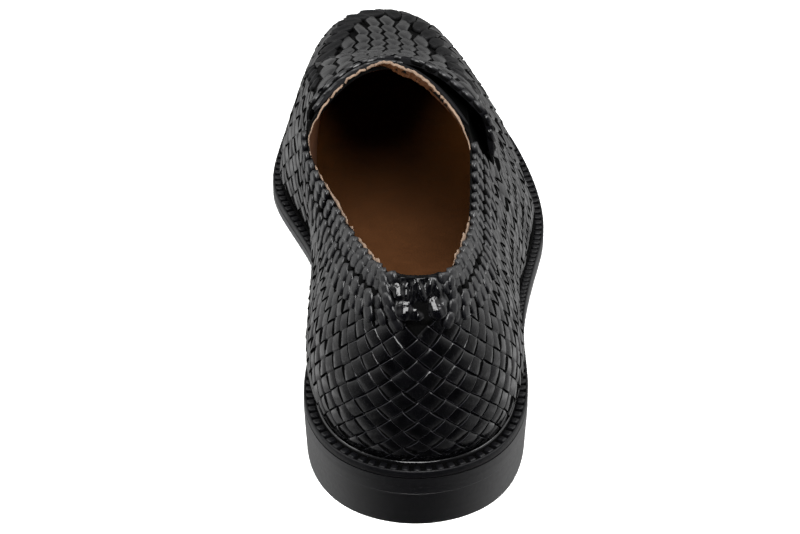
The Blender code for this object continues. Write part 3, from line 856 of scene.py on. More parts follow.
@dataclass(frozen=True)
class LaidForm:
    """A small rounded form that a node tree lays on every guide point.

    roundness: 0 for a block and 1 for an ellipsoid. sway: how far it turns by chance, in radians. taper: how
    much narrower its ends are.
    """

    name: str
    length: float
    width: float
    height: float
    roundness: float = 0.8
    sway: float = 0.06
    seed: int = 3
    taper: float = 0.0

    @staticmethod
    def shape(tree: bpy.types.NodeTree, given: bpy.types.bpy_prop_collection) -> bpy.types.NodeSocket:
        """Add the nodes of one form, two units long, wide and high, with its lower half marked for painted
        shade.

        Args:
            tree: The tree that takes the nodes.
            given: The tree's inputs.

        Returns:
            The form's geometry.
        """
        block = add_node(tree, "GeometryNodeMeshCube", {
            "Size": (2.0, 2.0, 2.0), "Vertices X": 4, "Vertices Y": 4, "Vertices Z": 3}).outputs["Mesh"]
        spot = add_node(tree, "GeometryNodeInputPosition").outputs["Position"]
        ball = add_node(tree, "ShaderNodeVectorMath", {"Vector": spot},
                        operation="NORMALIZE").outputs["Vector"]
        blend = add_node(tree, "ShaderNodeMix", {
            "Factor_Float": given["Roundness"], "A_Vector": spot, "B_Vector": ball},
            data_type="VECTOR").outputs[1]
        axis = add_node(tree, "ShaderNodeSeparateXYZ", {"Vector": blend}).outputs
        square = add_node(tree, "ShaderNodeMath", {"Value": axis["X"], "Value_001": axis["X"]},
                          operation="MULTIPLY").outputs[0]
        loss = add_node(tree, "ShaderNodeMath", {"Value": square, "Value_001": given["Taper"]},
                        operation="MULTIPLY").outputs[0]
        left = add_node(tree, "ShaderNodeMath", {"Value": 1.0, "Value_001": loss},
                        operation="SUBTRACT").outputs[0]
        slim = add_node(tree, "ShaderNodeMath", {"Value": axis["Y"], "Value_001": left},
                        operation="MULTIPLY").outputs[0]
        leaf = add_node(tree, "ShaderNodeCombineXYZ", {"X": axis["X"], "Y": slim, "Z": axis["Z"]}).outputs[0]
        form = add_node(tree, "GeometryNodeSetPosition", {"Geometry": block, "Position": leaf}).outputs[0]
        # Lower half of the form, marked to take the Shade finish: painted shade at its foot and between forms
        height = add_node(tree, "ShaderNodeSeparateXYZ", {"Vector": spot}).outputs["Z"]
        under = add_node(tree, "ShaderNodeMath", {"Value": height, "Value_001": -0.05},
                         operation="LESS_THAN").outputs[0]
        return add_node(tree, "GeometryNodeStoreNamedAttribute", {
            "Geometry": form, "Name": "under", "Value": under}, domain="FACE").outputs[0]

    def tree(self) -> tuple[bpy.types.NodeTree, dict[str, str]]:
        """Build the node tree.

        Returns:
            The tree, and the identifier of each named input.
        """
        tree = bpy.data.node_groups.new(self.name, "GeometryNodeTree")
        tree.interface.new_socket("Guides", in_out="INPUT", socket_type="NodeSocketGeometry")
        labels = ("Length", "Width", "Height", "Roundness", "Taper", "Sway")
        kinds = dict.fromkeys(labels, "NodeSocketFloat")
        kinds |= {"Seed": "NodeSocketInt", "Finish": "NodeSocketMaterial", "Shade": "NodeSocketMaterial"}
        known = {label: tree.interface.new_socket(label, in_out="INPUT", socket_type=kind).identifier
                 for label, kind in kinds.items()}
        tree.interface.new_socket("Pieces", in_out="OUTPUT", socket_type="NodeSocketGeometry")
        given = add_node(tree, "NodeGroupInput").outputs
        form = self.shape(tree, given)
        out, along, size, under = (
            add_node(tree, "GeometryNodeInputNamedAttribute", {"Name": label}, data_type=kind).outputs[0]
            for label, kind in (("out", "FLOAT_VECTOR"), ("along", "FLOAT_VECTOR"), ("size", "FLOAT"),
                                ("under", "FLOAT")))
        stand = add_node(tree, "FunctionNodeAlignRotationToVector", {"Vector": out}, axis="Z").outputs[0]
        turn = add_node(tree, "FunctionNodeAlignRotationToVector", {"Rotation": stand, "Vector": along},
                        axis="X", pivot_axis="Z").outputs[0]
        sides = add_node(tree, "ShaderNodeCombineXYZ", {
            "X": given["Length"], "Y": given["Width"], "Z": given["Height"]}).outputs[0]
        half = add_node(tree, "ShaderNodeMath", {"Value": size, "Value_001": 0.5},
                        operation="MULTIPLY").outputs[0]
        scale = add_node(tree, "ShaderNodeVectorMath", {"Vector": sides, "Scale": half},
                         operation="SCALE").outputs["Vector"]
        laid = add_node(tree, "GeometryNodeInstanceOnPoints", {
            "Points": given["Guides"], "Instance": form, "Rotation": turn, "Scale": scale}).outputs[0]
        back = add_node(tree, "ShaderNodeMath", {"Value": given["Sway"], "Value_001": -1.0},
                        operation="MULTIPLY").outputs[0]
        swing = add_node(tree, "FunctionNodeRandomValue", {
            "Min_001": back, "Max_001": given["Sway"], "Seed": given["Seed"]}).outputs[1]
        spin = add_node(tree, "ShaderNodeCombineXYZ", {"Z": swing}).outputs[0]
        euler = add_node(tree, "FunctionNodeEulerToRotation", {"Euler": spin}).outputs[0]
        swayed = add_node(tree, "GeometryNodeRotateInstances", {
            "Instances": laid, "Rotation": euler}).outputs[0]
        shade = add_node(tree, "FunctionNodeRandomValue", {
            "Min_001": 0.0, "Max_001": 1.0, "Seed": given["Seed"]}).outputs[1]
        toned = add_node(tree, "GeometryNodeStoreNamedAttribute", {
            "Geometry": swayed, "Name": "tone", "Value": shade}, domain="INSTANCE").outputs[0]
        solid = add_node(tree, "GeometryNodeRealizeInstances", {"Geometry": toned}).outputs[0]
        smooth = add_node(tree, "GeometryNodeSetShadeSmooth", {"Geometry": solid}).outputs[0]
        dressed = add_node(tree, "GeometryNodeSetMaterial", {
            "Geometry": smooth, "Material": given["Finish"]}).outputs[0]
        # Painted shade: the marked lower halves take the dark Shade finish
        shaded = add_node(tree, "GeometryNodeSetMaterial", {
            "Geometry": dressed, "Material": given["Shade"], "Selection": under}).outputs[0]
        tree.links.new(shaded, add_node(tree, "NodeGroupOutput").inputs[0])
        return tree, known

    def lay(self, bench: Bench, guides: Guides, finish: LeatherFinish, slot: Slot,
            shade: LeatherFinish = UNDERLAY_AND_SHADE) -> bpy.types.Object:
        """Lay the form on the guides and bake it to a plain mesh.

        Args:
            bench: Where pieces are finished.
            guides: The places, in the maker's frame.
            finish: The forms' finish.
            slot: The record's material slot; not used.
            shade: The finish of their lower halves, painted shade in the joins between forms.

        Returns:
            The baked piece.
        """
        mesh = bpy.data.meshes.new(self.name + "_guides")
        mesh.from_pydata(bench.local(guides.points).tolist(), [], [])
        for key, values in (("along", guides.along), ("out", guides.out)):
            column = mesh.attributes.new(key, "FLOAT_VECTOR", "POINT").data
            column.foreach_set("vector", values.astype(np.float32).ravel())
        column = mesh.attributes.new("size", "FLOAT", "POINT").data
        column.foreach_set("value", guides.size.astype(np.float32))
        made = show(self.name, mesh)
        tree, known = self.tree()
        modifier = made.modifiers.new(self.name, "NODES")
        modifier.node_group = tree
        inputs = {"Length": self.length * MM, "Width": self.width * MM, "Height": self.height * MM,
                  "Roundness": self.roundness, "Taper": self.taper, "Sway": self.sway, "Seed": self.seed,
                  "Finish": bench.finish(finish), "Shade": bench.finish(shade)}
        for label, value in inputs.items():
            modifier[known[label]] = value
        bpy.context.view_layer.update()
        baked = bpy.data.meshes.new_from_object(made.evaluated_get(bpy.context.evaluated_depsgraph_get()))
        made.modifiers.clear()
        made.data = baked
        bpy.data.meshes.remove(mesh)
        bench.hand_over(made)
        return made


@dataclass(frozen=True)
class Pucker:
    """A soft ridge or trough of the quarters, placed from the photograph.

    u: distance round from the heel back. below: distance under the topline. length, width: half sizes along
    and across it. turn: lean from level, downwards to the outer side. height: over the wall.
    """

    u: float
    below: float
    length: float
    width: float
    turn: float
    height: float

    def axes(self, u: Array, below: Array) -> tuple[Array, Array]:
        """Places along and across the pucker, as shares of its half sizes.

        Args:
            u: Distances round from the heel back.
            below: Distances under the topline.

        Returns:
            Shares along and across.
        """
        across, down = u - self.u, below - self.below
        run = across * cos(radians(self.turn)) + down * sin(radians(self.turn))
        off = -across * sin(radians(self.turn)) + down * cos(radians(self.turn))
        return run / self.length, off / self.width


# Where strips bunch up at the top of the heel the weave swells, with a hollow below
PUCKERS: tuple[Pucker, ...] = (
    Pucker(-1.0, 10.0, 13.0, 8.0, 0.0, 0.9),
    Pucker(-15.5, 11.0, 9.0, 2.2, 55.0, -0.8),
    Pucker(14.0, 9.0, 8.0, 2.0, -50.0, -0.6),
    Pucker(0.0, 18.6, 9.0, 2.2, 6.0, -0.7),
)


@dataclass(frozen=True)
class HeelFold(Pucker):
    """A bunched strip at the top of the heel, whose top rises by its tilt for each step down the wall."""

    tilt: float = 0.0


# Bunched strips at the top of the heel, as soft domes with creases between them
HEEL_FOLDS: dict[str, HeelFold] = {
    "inner_ridge": HeelFold(-4.9, 10.2, 5.0, 3.3, 72.0, 2.5, 0.42),
    "inner_lobe": HeelFold(-1.2, 12.4, 3.6, 2.4, 20.0, 1.6, 0.2),
    "outer_bulge": HeelFold(7.2, 10.4, 4.6, 3.7, 100.0, 2.7, 0.42),
    "inner_shoulder": HeelFold(-7.6, 5.0, 3.8, 1.9, 50.0, 1.9, 0.3),
    "inner_knuckle": HeelFold(-10.0, 3.2, 3.6, 1.9, 30.0, 1.8, 0.3),
    "inner_crease": HeelFold(-4.2, 4.6, 3.4, 1.4, 74.0, 1.7, 0.3),
    "middle_fold": HeelFold(-1.2, 5.2, 4.4, 1.2, 96.0, 1.4),
    "middle_ply": HeelFold(1.4, 4.4, 4.4, 1.3, 70.0, 1.7, 0.2),
    "outer_fold": HeelFold(4.4, 3.6, 3.6, 1.5, 112.0, 1.6),
    "outer_strip": HeelFold(7.4, 3.8, 3.6, 1.7, 84.0, 1.9, 0.3),
    "outer_crescent": HeelFold(11.2, 8.4, 5.0, 1.5, 66.0, 1.4, 0.2),
    "outer_scale": HeelFold(11.0, 4.0, 3.6, 2.2, 36.0, 1.7, 0.2),
}

# Leaves that close the gather on both sides: distance round from the heel back, distance under the topline,
# turn and size
HEEL_LEAVES: tuple[tuple[float, float, float, float], ...] = (
    (-13.6, 2.6, -56.0, 0.9), (-11.8, 5.6, -58.0, 1.0), (-10.0, 8.8, -60.0, 1.05), (-8.2, 12.0, -60.0, 1.0),
    (-6.4, 15.2, -56.0, 0.95), (13.8, 3.6, 70.0, 0.85), (13.9, 7.6, 78.0, 0.95), (12.8, 11.6, 64.0, 1.0),
    (10.4, 15.2, 50.0, 0.95),
)


@dataclass(frozen=True)
class CollarRow:
    """One row of turned strip ends along the collar.

    below: distance under the topline. turn: lean of each form from straight along the topline. offset: shift
    as a share of the pitch. start: distance from the heel back at which the row begins. size: length, width
    and height of a form. finish, shade: its upper and lower halves, the lower half as painted shade.
    """

    name: str
    below: float
    turn: float
    offset: float
    start: float
    size: tuple[float, float, float]
    roundness: float
    taper: float
    finish: LeatherFinish = BRAID_CALF
    shade: LeatherFinish = UNDERLAY_AND_SHADE


# Scales across the edge, a line of black forms as painted shade of holes, then leaves that run into the weave
COLLAR_ROWS: tuple[CollarRow, ...] = (
    CollarRow("collar_edge", 1.7, 64.0, 0.0, 8.6, (4.8, 6.5, 2.0), 0.34, 0.25, shade=BRAID_CALF),
    CollarRow("collar_ovals", 5.0, 68.0, 0.5, 6.0, (5.2, 5.7, 2.1), 0.4, 0.45),
    # Black forms in place of the holes: painted shade
    CollarRow("collar_holes_painted_shade", 7.8, 70.0, 0.2, 9.0, (4.0, 3.2, 2.2), 0.6, 0.4, UNDERLAY_AND_SHADE),
    CollarRow("collar_leaves", 10.6, 66.0, 0.6, 9.0, (6.8, 5.4, 2.2), 0.36, 0.5),
    CollarRow("collar_tails", 14.8, 60.0, 0.1, 10.0, (7.0, 4.5, 1.6), 0.34, 0.4),
)

# Width of a column of the side weave: distance round from the heel back, and width
COLUMN_PITCH: tuple[tuple[float, float], ...] = (
    (0.0, 3.95), (16.0, 3.85), (42.0, 3.1), (115.0, 3.2), (190.0, 4.2))


@dataclass
class PlugLattice:
    """Even lattice over the vamp's top: columns side by side, rows from the throat to the toe."""

    form: LoaferForm
    pitch: float = 6.05
    step: float = 6.3
    across: int = 6
    margin: float = 1.8

    def __post_init__(self) -> None:
        """Measure the ridge and the width at every row."""
        self.w = np.linspace(0, 1, 201)
        ridge = self.form.vamp_top(self.w, 0.5)
        self.along = run_length(ridge)
        span = self.form.vamp_top(self.w, 1.0) - self.form.vamp_top(self.w, 0.0)
        self.width = np.linalg.norm(span, axis=-1)

    def places(self, a: Array, b: Array) -> tuple[Array, Array]:
        """Vamp row and share of the width at lattice columns and rows."""
        at = np.interp(b * self.step, self.along, self.w)
        return at, np.clip(0.5 + a * self.pitch / np.interp(at, self.w, self.width), 0.02, 0.98)

    def cells(self, first: float, last: float) -> tuple[Array, Array]:
        """Columns and rows of the cells between two vamp rows.

        Args:
            first: Vamp row of the back end.
            last: Vamp row of the front end.

        Returns:
            Column and row of each cell.
        """
        columns = np.arange(-self.across, self.across + 1)
        rows = np.arange(0, int(self.along[-1] / self.step) + 1)
        i, j = (grid.reshape(-1).astype(float) for grid in np.meshgrid(columns, rows, indexing="ij"))
        at = np.interp(j * self.step, self.along, self.w)
        room = np.interp(at, self.w, self.width) / 2 - self.margin
        keep = ((i + j) % 2 == 0) & (np.abs(i) * self.pitch < room) & (at >= first) & (at < last)
        return i[keep], j[keep]


@dataclass
class WallLattice:
    """Even lattice of crossings over the side wall: columns round the shoe, rows up the wall.

    ribs, stations: how finely the wall is measured round and up. levels, level_step: the heights at which the
    wall's parameter is kept.
    """

    form: LoaferForm
    rows: int = 25
    heel_row: float = 3.8
    side_row: float = 4.2
    start: float = 0.6
    strap_lift: float = 1.7
    ribs: int = 360
    stations: int = 65
    levels: int = 70
    level_step: float = 1.5

    def __post_init__(self) -> None:
        """Measure every rib and tabulate the wall parameter at even heights."""
        self.u_step = 2 * self.form.half / self.ribs
        self.rib = np.arange(self.ribs + 1) * self.u_step
        t = np.linspace(0, 1, self.stations)
        wall = self.form.wall(self.rib[:, None], t[None, :])
        arc = np.stack([run_length(line) for line in wall])
        self.reach = arc[:, -1]
        side = np.abs(self.form.from_heel(self.rib))
        self.pitch = self.heel_row + (self.side_row - self.heel_row) * ease(side, 15.0, 50.0)
        heights = np.arange(self.levels) * self.level_step
        self.table = np.array([np.interp(heights, row, t) for row in arc])
        column = np.interp(side, *zip(*COLUMN_PITCH))
        count = np.concatenate([[0.0], np.cumsum(2 * self.u_step / (column[1:] + column[:-1]))])
        self.columns = 2 * round(count[-1] / 2)
        self.places = count * self.columns / count[-1]

    def at_u(self, values: Array, u: Array) -> Array:
        """Values kept for each rib, read at any distance round the shoe."""
        return np.interp(np.mod(u, 2 * self.form.half), self.rib, values)

    def parameter(self, u: Array, d: Array) -> Array:
        """Wall parameter at a distance up the rib, read between the nearest ribs and levels.

        Args:
            u: Distances round the shoe.
            d: Distances up the wall.

        Returns:
            Wall parameters.
        """
        k = np.mod(u, 2 * self.form.half) / self.u_step
        k0 = np.clip(k.astype(int), 0, self.ribs - 1)
        m = np.clip(d / self.level_step, 0, self.levels - 1.001)
        m0 = m.astype(int)
        past_rib, past_level = k - k0, m - m0
        low = self.table[k0, m0] * (1 - past_level) + self.table[k0, m0 + 1] * past_level
        high = self.table[k0 + 1, m0] * (1 - past_level) + self.table[k0 + 1, m0 + 1] * past_level
        return low * (1 - past_rib) + high * past_rib

    def swell(self, u: Array, d: Array, t: Array) -> Array:
        """Height of the listed puckers and of the strap under the weave.

        Args:
            u: Distances round the shoe.
            d: Distances up the wall.
            t: Wall parameters there.

        Returns:
            Heights over the plain wall.
        """
        side = self.form.from_heel(u)
        below = self.at_u(self.reach, u) - d
        total = np.zeros_like(side)
        for pucker in PUCKERS:
            run, off = pucker.axes(side, below)
            total += pucker.height * np.exp(-run ** 2 - off ** 2)
        row = self.form.vamp_row(u)
        strap = ease(row, -0.01, 0.06) * (1 - ease(row, 0.36, 0.44)) * ease(t, 0.02, 0.12)
        return total + self.strap_lift * strap

    def on_wall(self, u: Array, d: Array) -> tuple[Array, Array]:
        """Points and normals on the swollen wall.

        Args:
            u: Distances round the shoe.
            d: Distances up the wall.

        Returns:
            Points and outward normals.
        """
        t = self.parameter(u, d)
        points, normals = self.form.wall(u, t), self.form.wall_normal(u, t)
        return points + normals * self.swell(u, d, t)[..., None], normals

    def run(self, u: Array, d: Array) -> Array:
        """Directions round the shoe at distances round it and up its wall."""
        return unit(self.on_wall(u + 0.5, d)[0] - self.on_wall(u - 0.5, d)[0])

    def spread(self, a: Array, b: Array) -> tuple[Array, Array]:
        """Turn lattice columns and rows into distances.

        Args:
            a: Lattice columns.
            b: Lattice rows.

        Returns:
            Distances round the shoe and up the wall.
        """
        turns = np.floor(a / self.columns)
        u = np.interp(a - turns * self.columns, self.places, self.rib) + turns * 2 * self.form.half
        return u, self.start + b * self.at_u(self.pitch, u)

    def sheet(self, a: Array, b: Array) -> tuple[Array, Array]:
        """Points and normals at lattice columns and rows."""
        return self.on_wall(*self.spread(a, b))


# Sections of the bindings: rolled behind the heel, flat along the throat, folded over the strap's back edge
ROLLED_BAND: Section = ((0.6, -2.6), (0.9, -0.6), (0.5, 0.5), (-0.9, 0.9), (-2.2, 0.6), (-2.9, -0.6),
                        (-2.7, -3.2))
FLAT_BAND: Section = ((-0.9, -1.7), (-0.2, -1.75), (0.45, -1.2), (0.65, 0.0), (0.45, 1.2), (-0.2, 1.75),
                      (-0.9, 1.7))
FOLDED_BAND: Section = ((-1.6, -0.9), (0.2, -0.9), (0.9, -0.6), (1.1, 0.0), (0.9, 0.5), (0.3, 0.9),
                        (-1.6, 0.9))
# Section of the raw edge: share of the way from its outer to its inner face, and height over the topline
RAW_SECTION: Section = ((0.0, -0.9), (0.0, 0.15), (0.3, 0.5), (0.7, 0.5), (1.0, 0.2), (1.0, -1.8))
# Stretches of the collar where the raw edge sinks behind the braid, or shows more (below 0): side, distances
# from the heel back between which the stretch fades in and then out, and how far it sinks
RAW_SINK: tuple[tuple[float, ...], ...] = (
    (1.0, 74.0, 84.0, 112.0, 122.0, 0.6),
    (1.0, 20.0, 34.0, 66.0, 76.0, -0.26),
    (-1.0, 20.0, 34.0, 100.0, 116.0, -0.16),
)


@dataclass
class WovenUpper:
    """Woven quarters and vamp over a lined underlay, with a braided collar and a moccasin seam.

    wall, sunk: depth of the underlay's inner and outer face, less lining_thin and cover_thin at the topline.
    collar_band, heel_band: how far under the topline the weave stops. weave_end: row of the vamp up to which
    that holds, on the outer and the inner side. margins: how far short of the seam it stops. gather fields:
    half width, middle and reach of the heel gather. first_row, loose_flat: how flat strips lie at the welt
    and where they are loose.
    """

    form: LoaferForm
    bench: Bench
    wall: float = 2.2
    sunk: float = 1.0
    lining_thin: float = 1.2
    cover_thin: float = 0.6
    foot_tuck: float = 0.5
    foot_drop: float = 0.8
    dark_toe_rows: int = 8
    collar_band: float = 14.5
    collar_pitch: tuple[float, float] = (6.1, 6.4)
    heel_gather: float = 15.0
    heel_band: float = 6.0
    gather_half: float = 14.5
    gather_middle: float = 10.5
    gather_above: float = 16.0
    gather_under: float = 7.4
    gather_rim: float = 0.62
    gather_floor: float = 0.5
    strap_rear: float = 0.06
    strap_front: float = 0.37
    strap_lift: float = 2.2
    strap_cover: float = 0.58
    weave_end: tuple[float, float] = (0.07, -0.015)
    seam_margin: float = 2.5
    strap_margin: float = 0.2
    first_row: float = 0.4
    loose_span: tuple[float, float] = (13.0, 34.0)
    loose_flat: float = 0.3
    seam_pitch: float = 9.0
    wall_ribs: int = 220

    def build(self) -> None:
        """Make every piece of the upper."""
        self.lattice = WallLattice(self.form)
        self.plug = PlugLattice(self.form)
        self.build_underlay()
        self.build_quarters()
        self.build_gather()
        self.build_leaves()
        self.build_vamp()
        self.build_collar()
        self.build_seam()
        self.build_raw_edge()
        self.build_heel_binding()
        self.build_throat()

    def build_underlay(self) -> None:
        """Lined underlay: the wall ring and the vamp's top, brown inside but dark at the toe."""
        form = self.form
        u = np.arange(self.wall_ribs) * 2 * form.half / self.wall_ribs
        row = form.vamp_row(u)
        t = np.linspace(0, 1, 25) * (0.99 + 0.009 * ease(row, 0.0, 0.05))[:, None]
        points, normals = form.wall(u[:, None], t), form.wall_normal(u[:, None], t)
        thin = (ease(t, 0.78, 0.97) * (1 - ease(row, -0.02, 0.05))[:, None])[..., None]
        inside = points - normals * (self.wall - self.lining_thin * thin)
        outside = points - normals * (self.sunk - self.cover_thin * thin)
        inside[:, 0] = form.outline(u, -self.wall, form.outsole + form.welt - self.foot_tuck)
        outside[:, 0, 2] -= self.foot_drop
        finishes = [UNDERLAY_AND_SHADE, WALL_LINING, UNDERLAY_AND_SHADE]
        ring = self.bench.piece("upper_underlay", thick_sheet(outside, inside, True), finishes, Slot.WOVEN)
        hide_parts("upper")
        rows, columns = 60, 24
        w = np.linspace(0.008, 0.999, rows + 1)[:, None]
        q = np.linspace(1, 0, columns + 1)[None, :]
        top, up = form.vamp_top(w, q), form.vamp_normal(w, q)
        data = thick_sheet(top - up * self.sunk, top - up * self.wall, False)
        lining = data.finish[rows * columns:2 * rows * columns].reshape(rows, columns)
        lining[-self.dark_toe_rows:] = 2
        self.bench.piece("vamp_underlay", data, finishes, Slot.WOVEN)

    def build_quarters(self) -> None:
        """Weave of the quarters and the vamp's sides, left out where collar, gather or strap covers it."""
        form, lattice = self.form, self.lattice
        grids = np.meshgrid(np.arange(lattice.columns), np.arange(lattice.rows), indexing="ij")
        i, j = (grid.reshape(-1) for grid in grids)
        u, d = lattice.spread(i.astype(float), j.astype(float))
        outer = u < form.half
        row, reach, side = form.vamp_row(u), lattice.at_u(lattice.reach, u), np.abs(form.from_heel(u))
        band = np.where(side < self.heel_gather, self.heel_band, self.collar_band)
        over = np.where((row < self.strap_front) & ~outer, self.strap_margin, self.seam_margin)
        top = np.where(row < np.where(outer, *self.weave_end), reach - band, reach - over)
        beside_strap = (row > self.strap_rear) & (row < self.strap_front) & outer
        under_strap = beside_strap & (d > self.strap_cover * reach)
        clear = self.gathered(side, reach - d) > self.gather_rim
        keep = ((i + j) % 2 == 0) & (d < top) & ~under_strap & clear
        loose = ease(side, *self.loose_span) * np.where(outer, 1.0, -1.0)
        for name, half in (("weave_lateral", outer), ("weave_medial", ~outer)):
            pick = keep & half
            height = np.where(j[pick] == 0, self.first_row, 1 - self.loose_flat * np.abs(loose[pick]))
            data = StripWeave().lay(lattice.sheet, i[pick].astype(float), j[pick].astype(float), height,
                                    loose[pick])
            self.bench.piece(name, data, [STRIP_CALF, UNDERLAY_AND_SHADE], Slot.WOVEN)

    def gathered(self, u: Array, below: Array) -> Array:
        """Squared distance from the middle of the gather, 1 at its rim."""
        reach = np.where(below < self.gather_middle, self.gather_above, self.gather_under)
        return (u / self.gather_half) ** 2 + ((below - self.gather_middle) / reach) ** 2

    def gather_height(self, u: Array, below: Array) -> Array:
        """Height of the gather over the wall.

        Args:
            u: Distances round from the heel back, changing along the rows of a grid.
            below: Distances under the topline, changing along its columns.

        Returns:
            Folds with creases between them, a groove under them and a rim that dives under the weave.
        """
        floor = self.gather_floor
        height = np.full(u.shape, floor)
        for fold in HEEL_FOLDS.values():
            run, off = fold.axes(u, below)
            dome = np.maximum(1 - (run ** 2 + off ** 2) ** 1.6, 0) ** 0.8
            rise = fold.height - floor + fold.tilt * (below - fold.below)
            height = np.maximum(height, floor + rise * dome)
        for _ in range(2):
            middle = height[1:-1, 1:-1]
            around = height[:-2, 1:-1] + height[2:, 1:-1] + height[1:-1, :-2] + height[1:-1, 2:]
            height[1:-1, 1:-1] = middle * 0.4 + around * 0.15
        height += 0.14 * np.sin(1.9 * u + 0.8 * below) * np.sin(1.4 * below - 1.1 * u)
        height -= 1.6 * np.exp(-((u - 0.4) / 7.0) ** 4 - ((below - 16.2) / 1.5) ** 2)
        return height - 2.4 * ease(self.gathered(u, below), 0.6, 0.92)

    def build_gather(self) -> None:
        """Bunched strips at the top of the heel: one crumpled sheet, with painted shade on its low faces in
        the creases.
        """
        lattice, half = self.lattice, self.gather_half
        u, below = np.meshgrid(np.linspace(-half, half, 97), np.linspace(20.5, 0.0, 69), indexing="ij")
        height = self.gather_height(u, below)
        points, normals = lattice.on_wall(u, lattice.at_u(lattice.reach, u) - below)
        data = thick_sheet(points + normals * height[..., None], points - normals * 3.2, False)
        # Painted shade: faces lying low in the creases and the groove take the underlay's black
        level = (height[:-1, :-1] + height[1:, 1:]).reshape(-1) / 2
        crease = np.where(below[:-1, :-1].reshape(-1) > 8, 0.75, 0.42)
        data.finish[:level.size] = np.where(level < crease, 1, 0)
        self.bench.piece("heel_gather", data, [GATHER_CALF, UNDERLAY_AND_SHADE], Slot.WOVEN, sharp=80.0)

    def build_leaves(self) -> None:
        """Strip ends that close the gather on both sides."""
        lattice = self.lattice
        u, below, turn, size = np.array(HEEL_LEAVES).T
        d = lattice.at_u(lattice.reach, u) - below
        points, out = lattice.on_wall(u, d)
        guides = Guides(points + out * 1.2, turned(lattice.run(u, d), out, turn), out, size)
        leaf = LaidForm("heel_leaves", 6.4, 4.0, 2.5, 0.4, 0.14, 3, 0.45)
        leaf.lay(self.bench, guides, BRAID_CALF, Slot.WOVEN)

    def build_vamp(self) -> None:
        """Weave of the vamp's top, with its zigzag lines running to the toe."""

        def sheet(a: Array, b: Array) -> tuple[Array, Array]:
            """Points and normals of the vamp's top at lattice columns and rows."""
            place = self.plug.places(a, b)
            return self.form.vamp_top(*place), self.form.vamp_normal(*place)

        data = VampPlait().lay(sheet, *self.plug.cells(self.strap_front - 0.01, 0.97))
        self.bench.piece("weave_vamp", data, [STRIP_CALF, UNDERLAY_AND_SHADE], Slot.WOVEN)

    def collar_guides(self, row: CollarRow) -> Guides:
        """Places of one row of the collar on both sides, mirrored.

        Args:
            row: The row.

        Returns:
            The places of its forms.
        """
        form, lattice = self.form, self.lattice
        chance = np.random.default_rng(int(row.below * 10) + 5)
        sides = []
        for end, pitch in zip((form.throat_lateral, -form.throat_medial), self.collar_pitch):
            steps = np.arange(int((abs(end) - row.start) / pitch)) + 0.5 + row.offset
            sides.append(np.sign(end) * (row.start + steps * pitch))
        u = np.concatenate(sides)
        u = u + chance.uniform(-0.6, 0.6, len(u))
        d = lattice.at_u(lattice.reach, u) - row.below + chance.uniform(-0.4, 0.4, len(u))
        points, out = lattice.on_wall(u, d)
        along = turned(lattice.run(u, d), out, np.where(u > 0, row.turn, -row.turn))
        size = chance.uniform(0.78, 1.08, len(u)) * np.where(u > 0, 0.95, 1.0)
        return Guides(points + out * 0.7, along, out, size)

    def build_collar(self) -> None:
        """Braided collar: rows of scales, with black painted-shade holes between the second row and the
        leaves.
        """
        for row in COLLAR_ROWS:
            form = LaidForm(row.name, *row.size, row.roundness, 0.2, 3, row.taper)
            form.lay(self.bench, self.collar_guides(row), row.finish, Slot.WOVEN, row.shade)

    def seam_path(self, pitch: float) -> tuple[Array, Array, Array]:
        """Even places along the moccasin seam, from the strap round the toe and back.

        Args:
            pitch: Distance between two places.

        Returns:
            Points, directions along the seam and upward normals.
        """
        form = self.form
        w = np.linspace(0.14, 1.0, 200)
        inner = form.side_u(w[w > 0.15], Side.MEDIAL)[::-1][1:]
        u = np.concatenate([form.side_u(w, Side.LATERAL), inner])
        length = run_length(form.wall(u, 1.0))
        even = np.interp(np.arange(0, length[-1], pitch), length, u)
        row = np.clip(form.vamp_row(even), 0, 0.96)
        above = form.vamp_normal(row, np.where(even < form.half, 0.95, 0.05))
        normal = unit(form.wall_normal(even, 0.97) + above)
        run = unit(form.wall(even + 0.5, 1.0) - form.wall(even - 0.5, 1.0))
        over = np.clip((self.strap_front + 0.02 - row) / 0.04, 0, 1)
        return form.wall(even, 1.0) + normal * (self.strap_lift * over)[:, None], run, normal

    def build_seam(self) -> None:
        """Moccasin seam: broad strip loops laid over the joint, smaller on the inner side behind the ball."""
        points, run, out = self.seam_path(self.seam_pitch)
        inner = (points[:, 0] < 0) & (points[:, 1] < 205)
        points = points - np.cross(out, run) * 1.4 - out * 0.2
        guides = Guides(points, turned(run, out, -38.0), out, np.where(inner, 0.6, 1.0))
        loop = LaidForm("moccasin_seam", 11.4, 6.6, 4.0, 0.66, 0.1, 8, 0.3)
        loop.lay(self.bench, guides, SEAM_CALF, Slot.WOVEN)

    def topline(self, collar: Array, q: Array) -> tuple[Array, Array, Array]:
        """Closed line of the opening: the collar, then the throat, with its two corners rounded.

        Args:
            collar: Distances round the shoe along the collar.
            q: Shares of the throat's width, from its outer to its inner end.

        Returns:
            Points, outward normals and upward directions.
        """
        form = self.form
        ring = np.concatenate([form.wall(collar, 1.0), form.vamp_top(0.0, q)])
        out = np.concatenate([form.wall_normal(collar, 0.98), form.vamp_normal(np.zeros_like(q), q)])
        up = np.concatenate([unit(form.wall(collar, 1.0) - form.wall(collar, 0.97)),
                             unit(form.vamp_top(0.0, q) - form.vamp_top(0.03, q))])
        soft = ring
        for _ in range(110):
            soft = blurred(soft)
        for _ in range(12):
            out, up = unit(blurred(out)), unit(blurred(up))
        corners = (0, len(collar) - 1)
        away = np.min([np.linalg.norm(ring - ring[k], axis=-1) for k in corners], axis=0)
        return ring + (soft - ring) * np.exp(-(away / 14.0) ** 2)[:, None], out, up

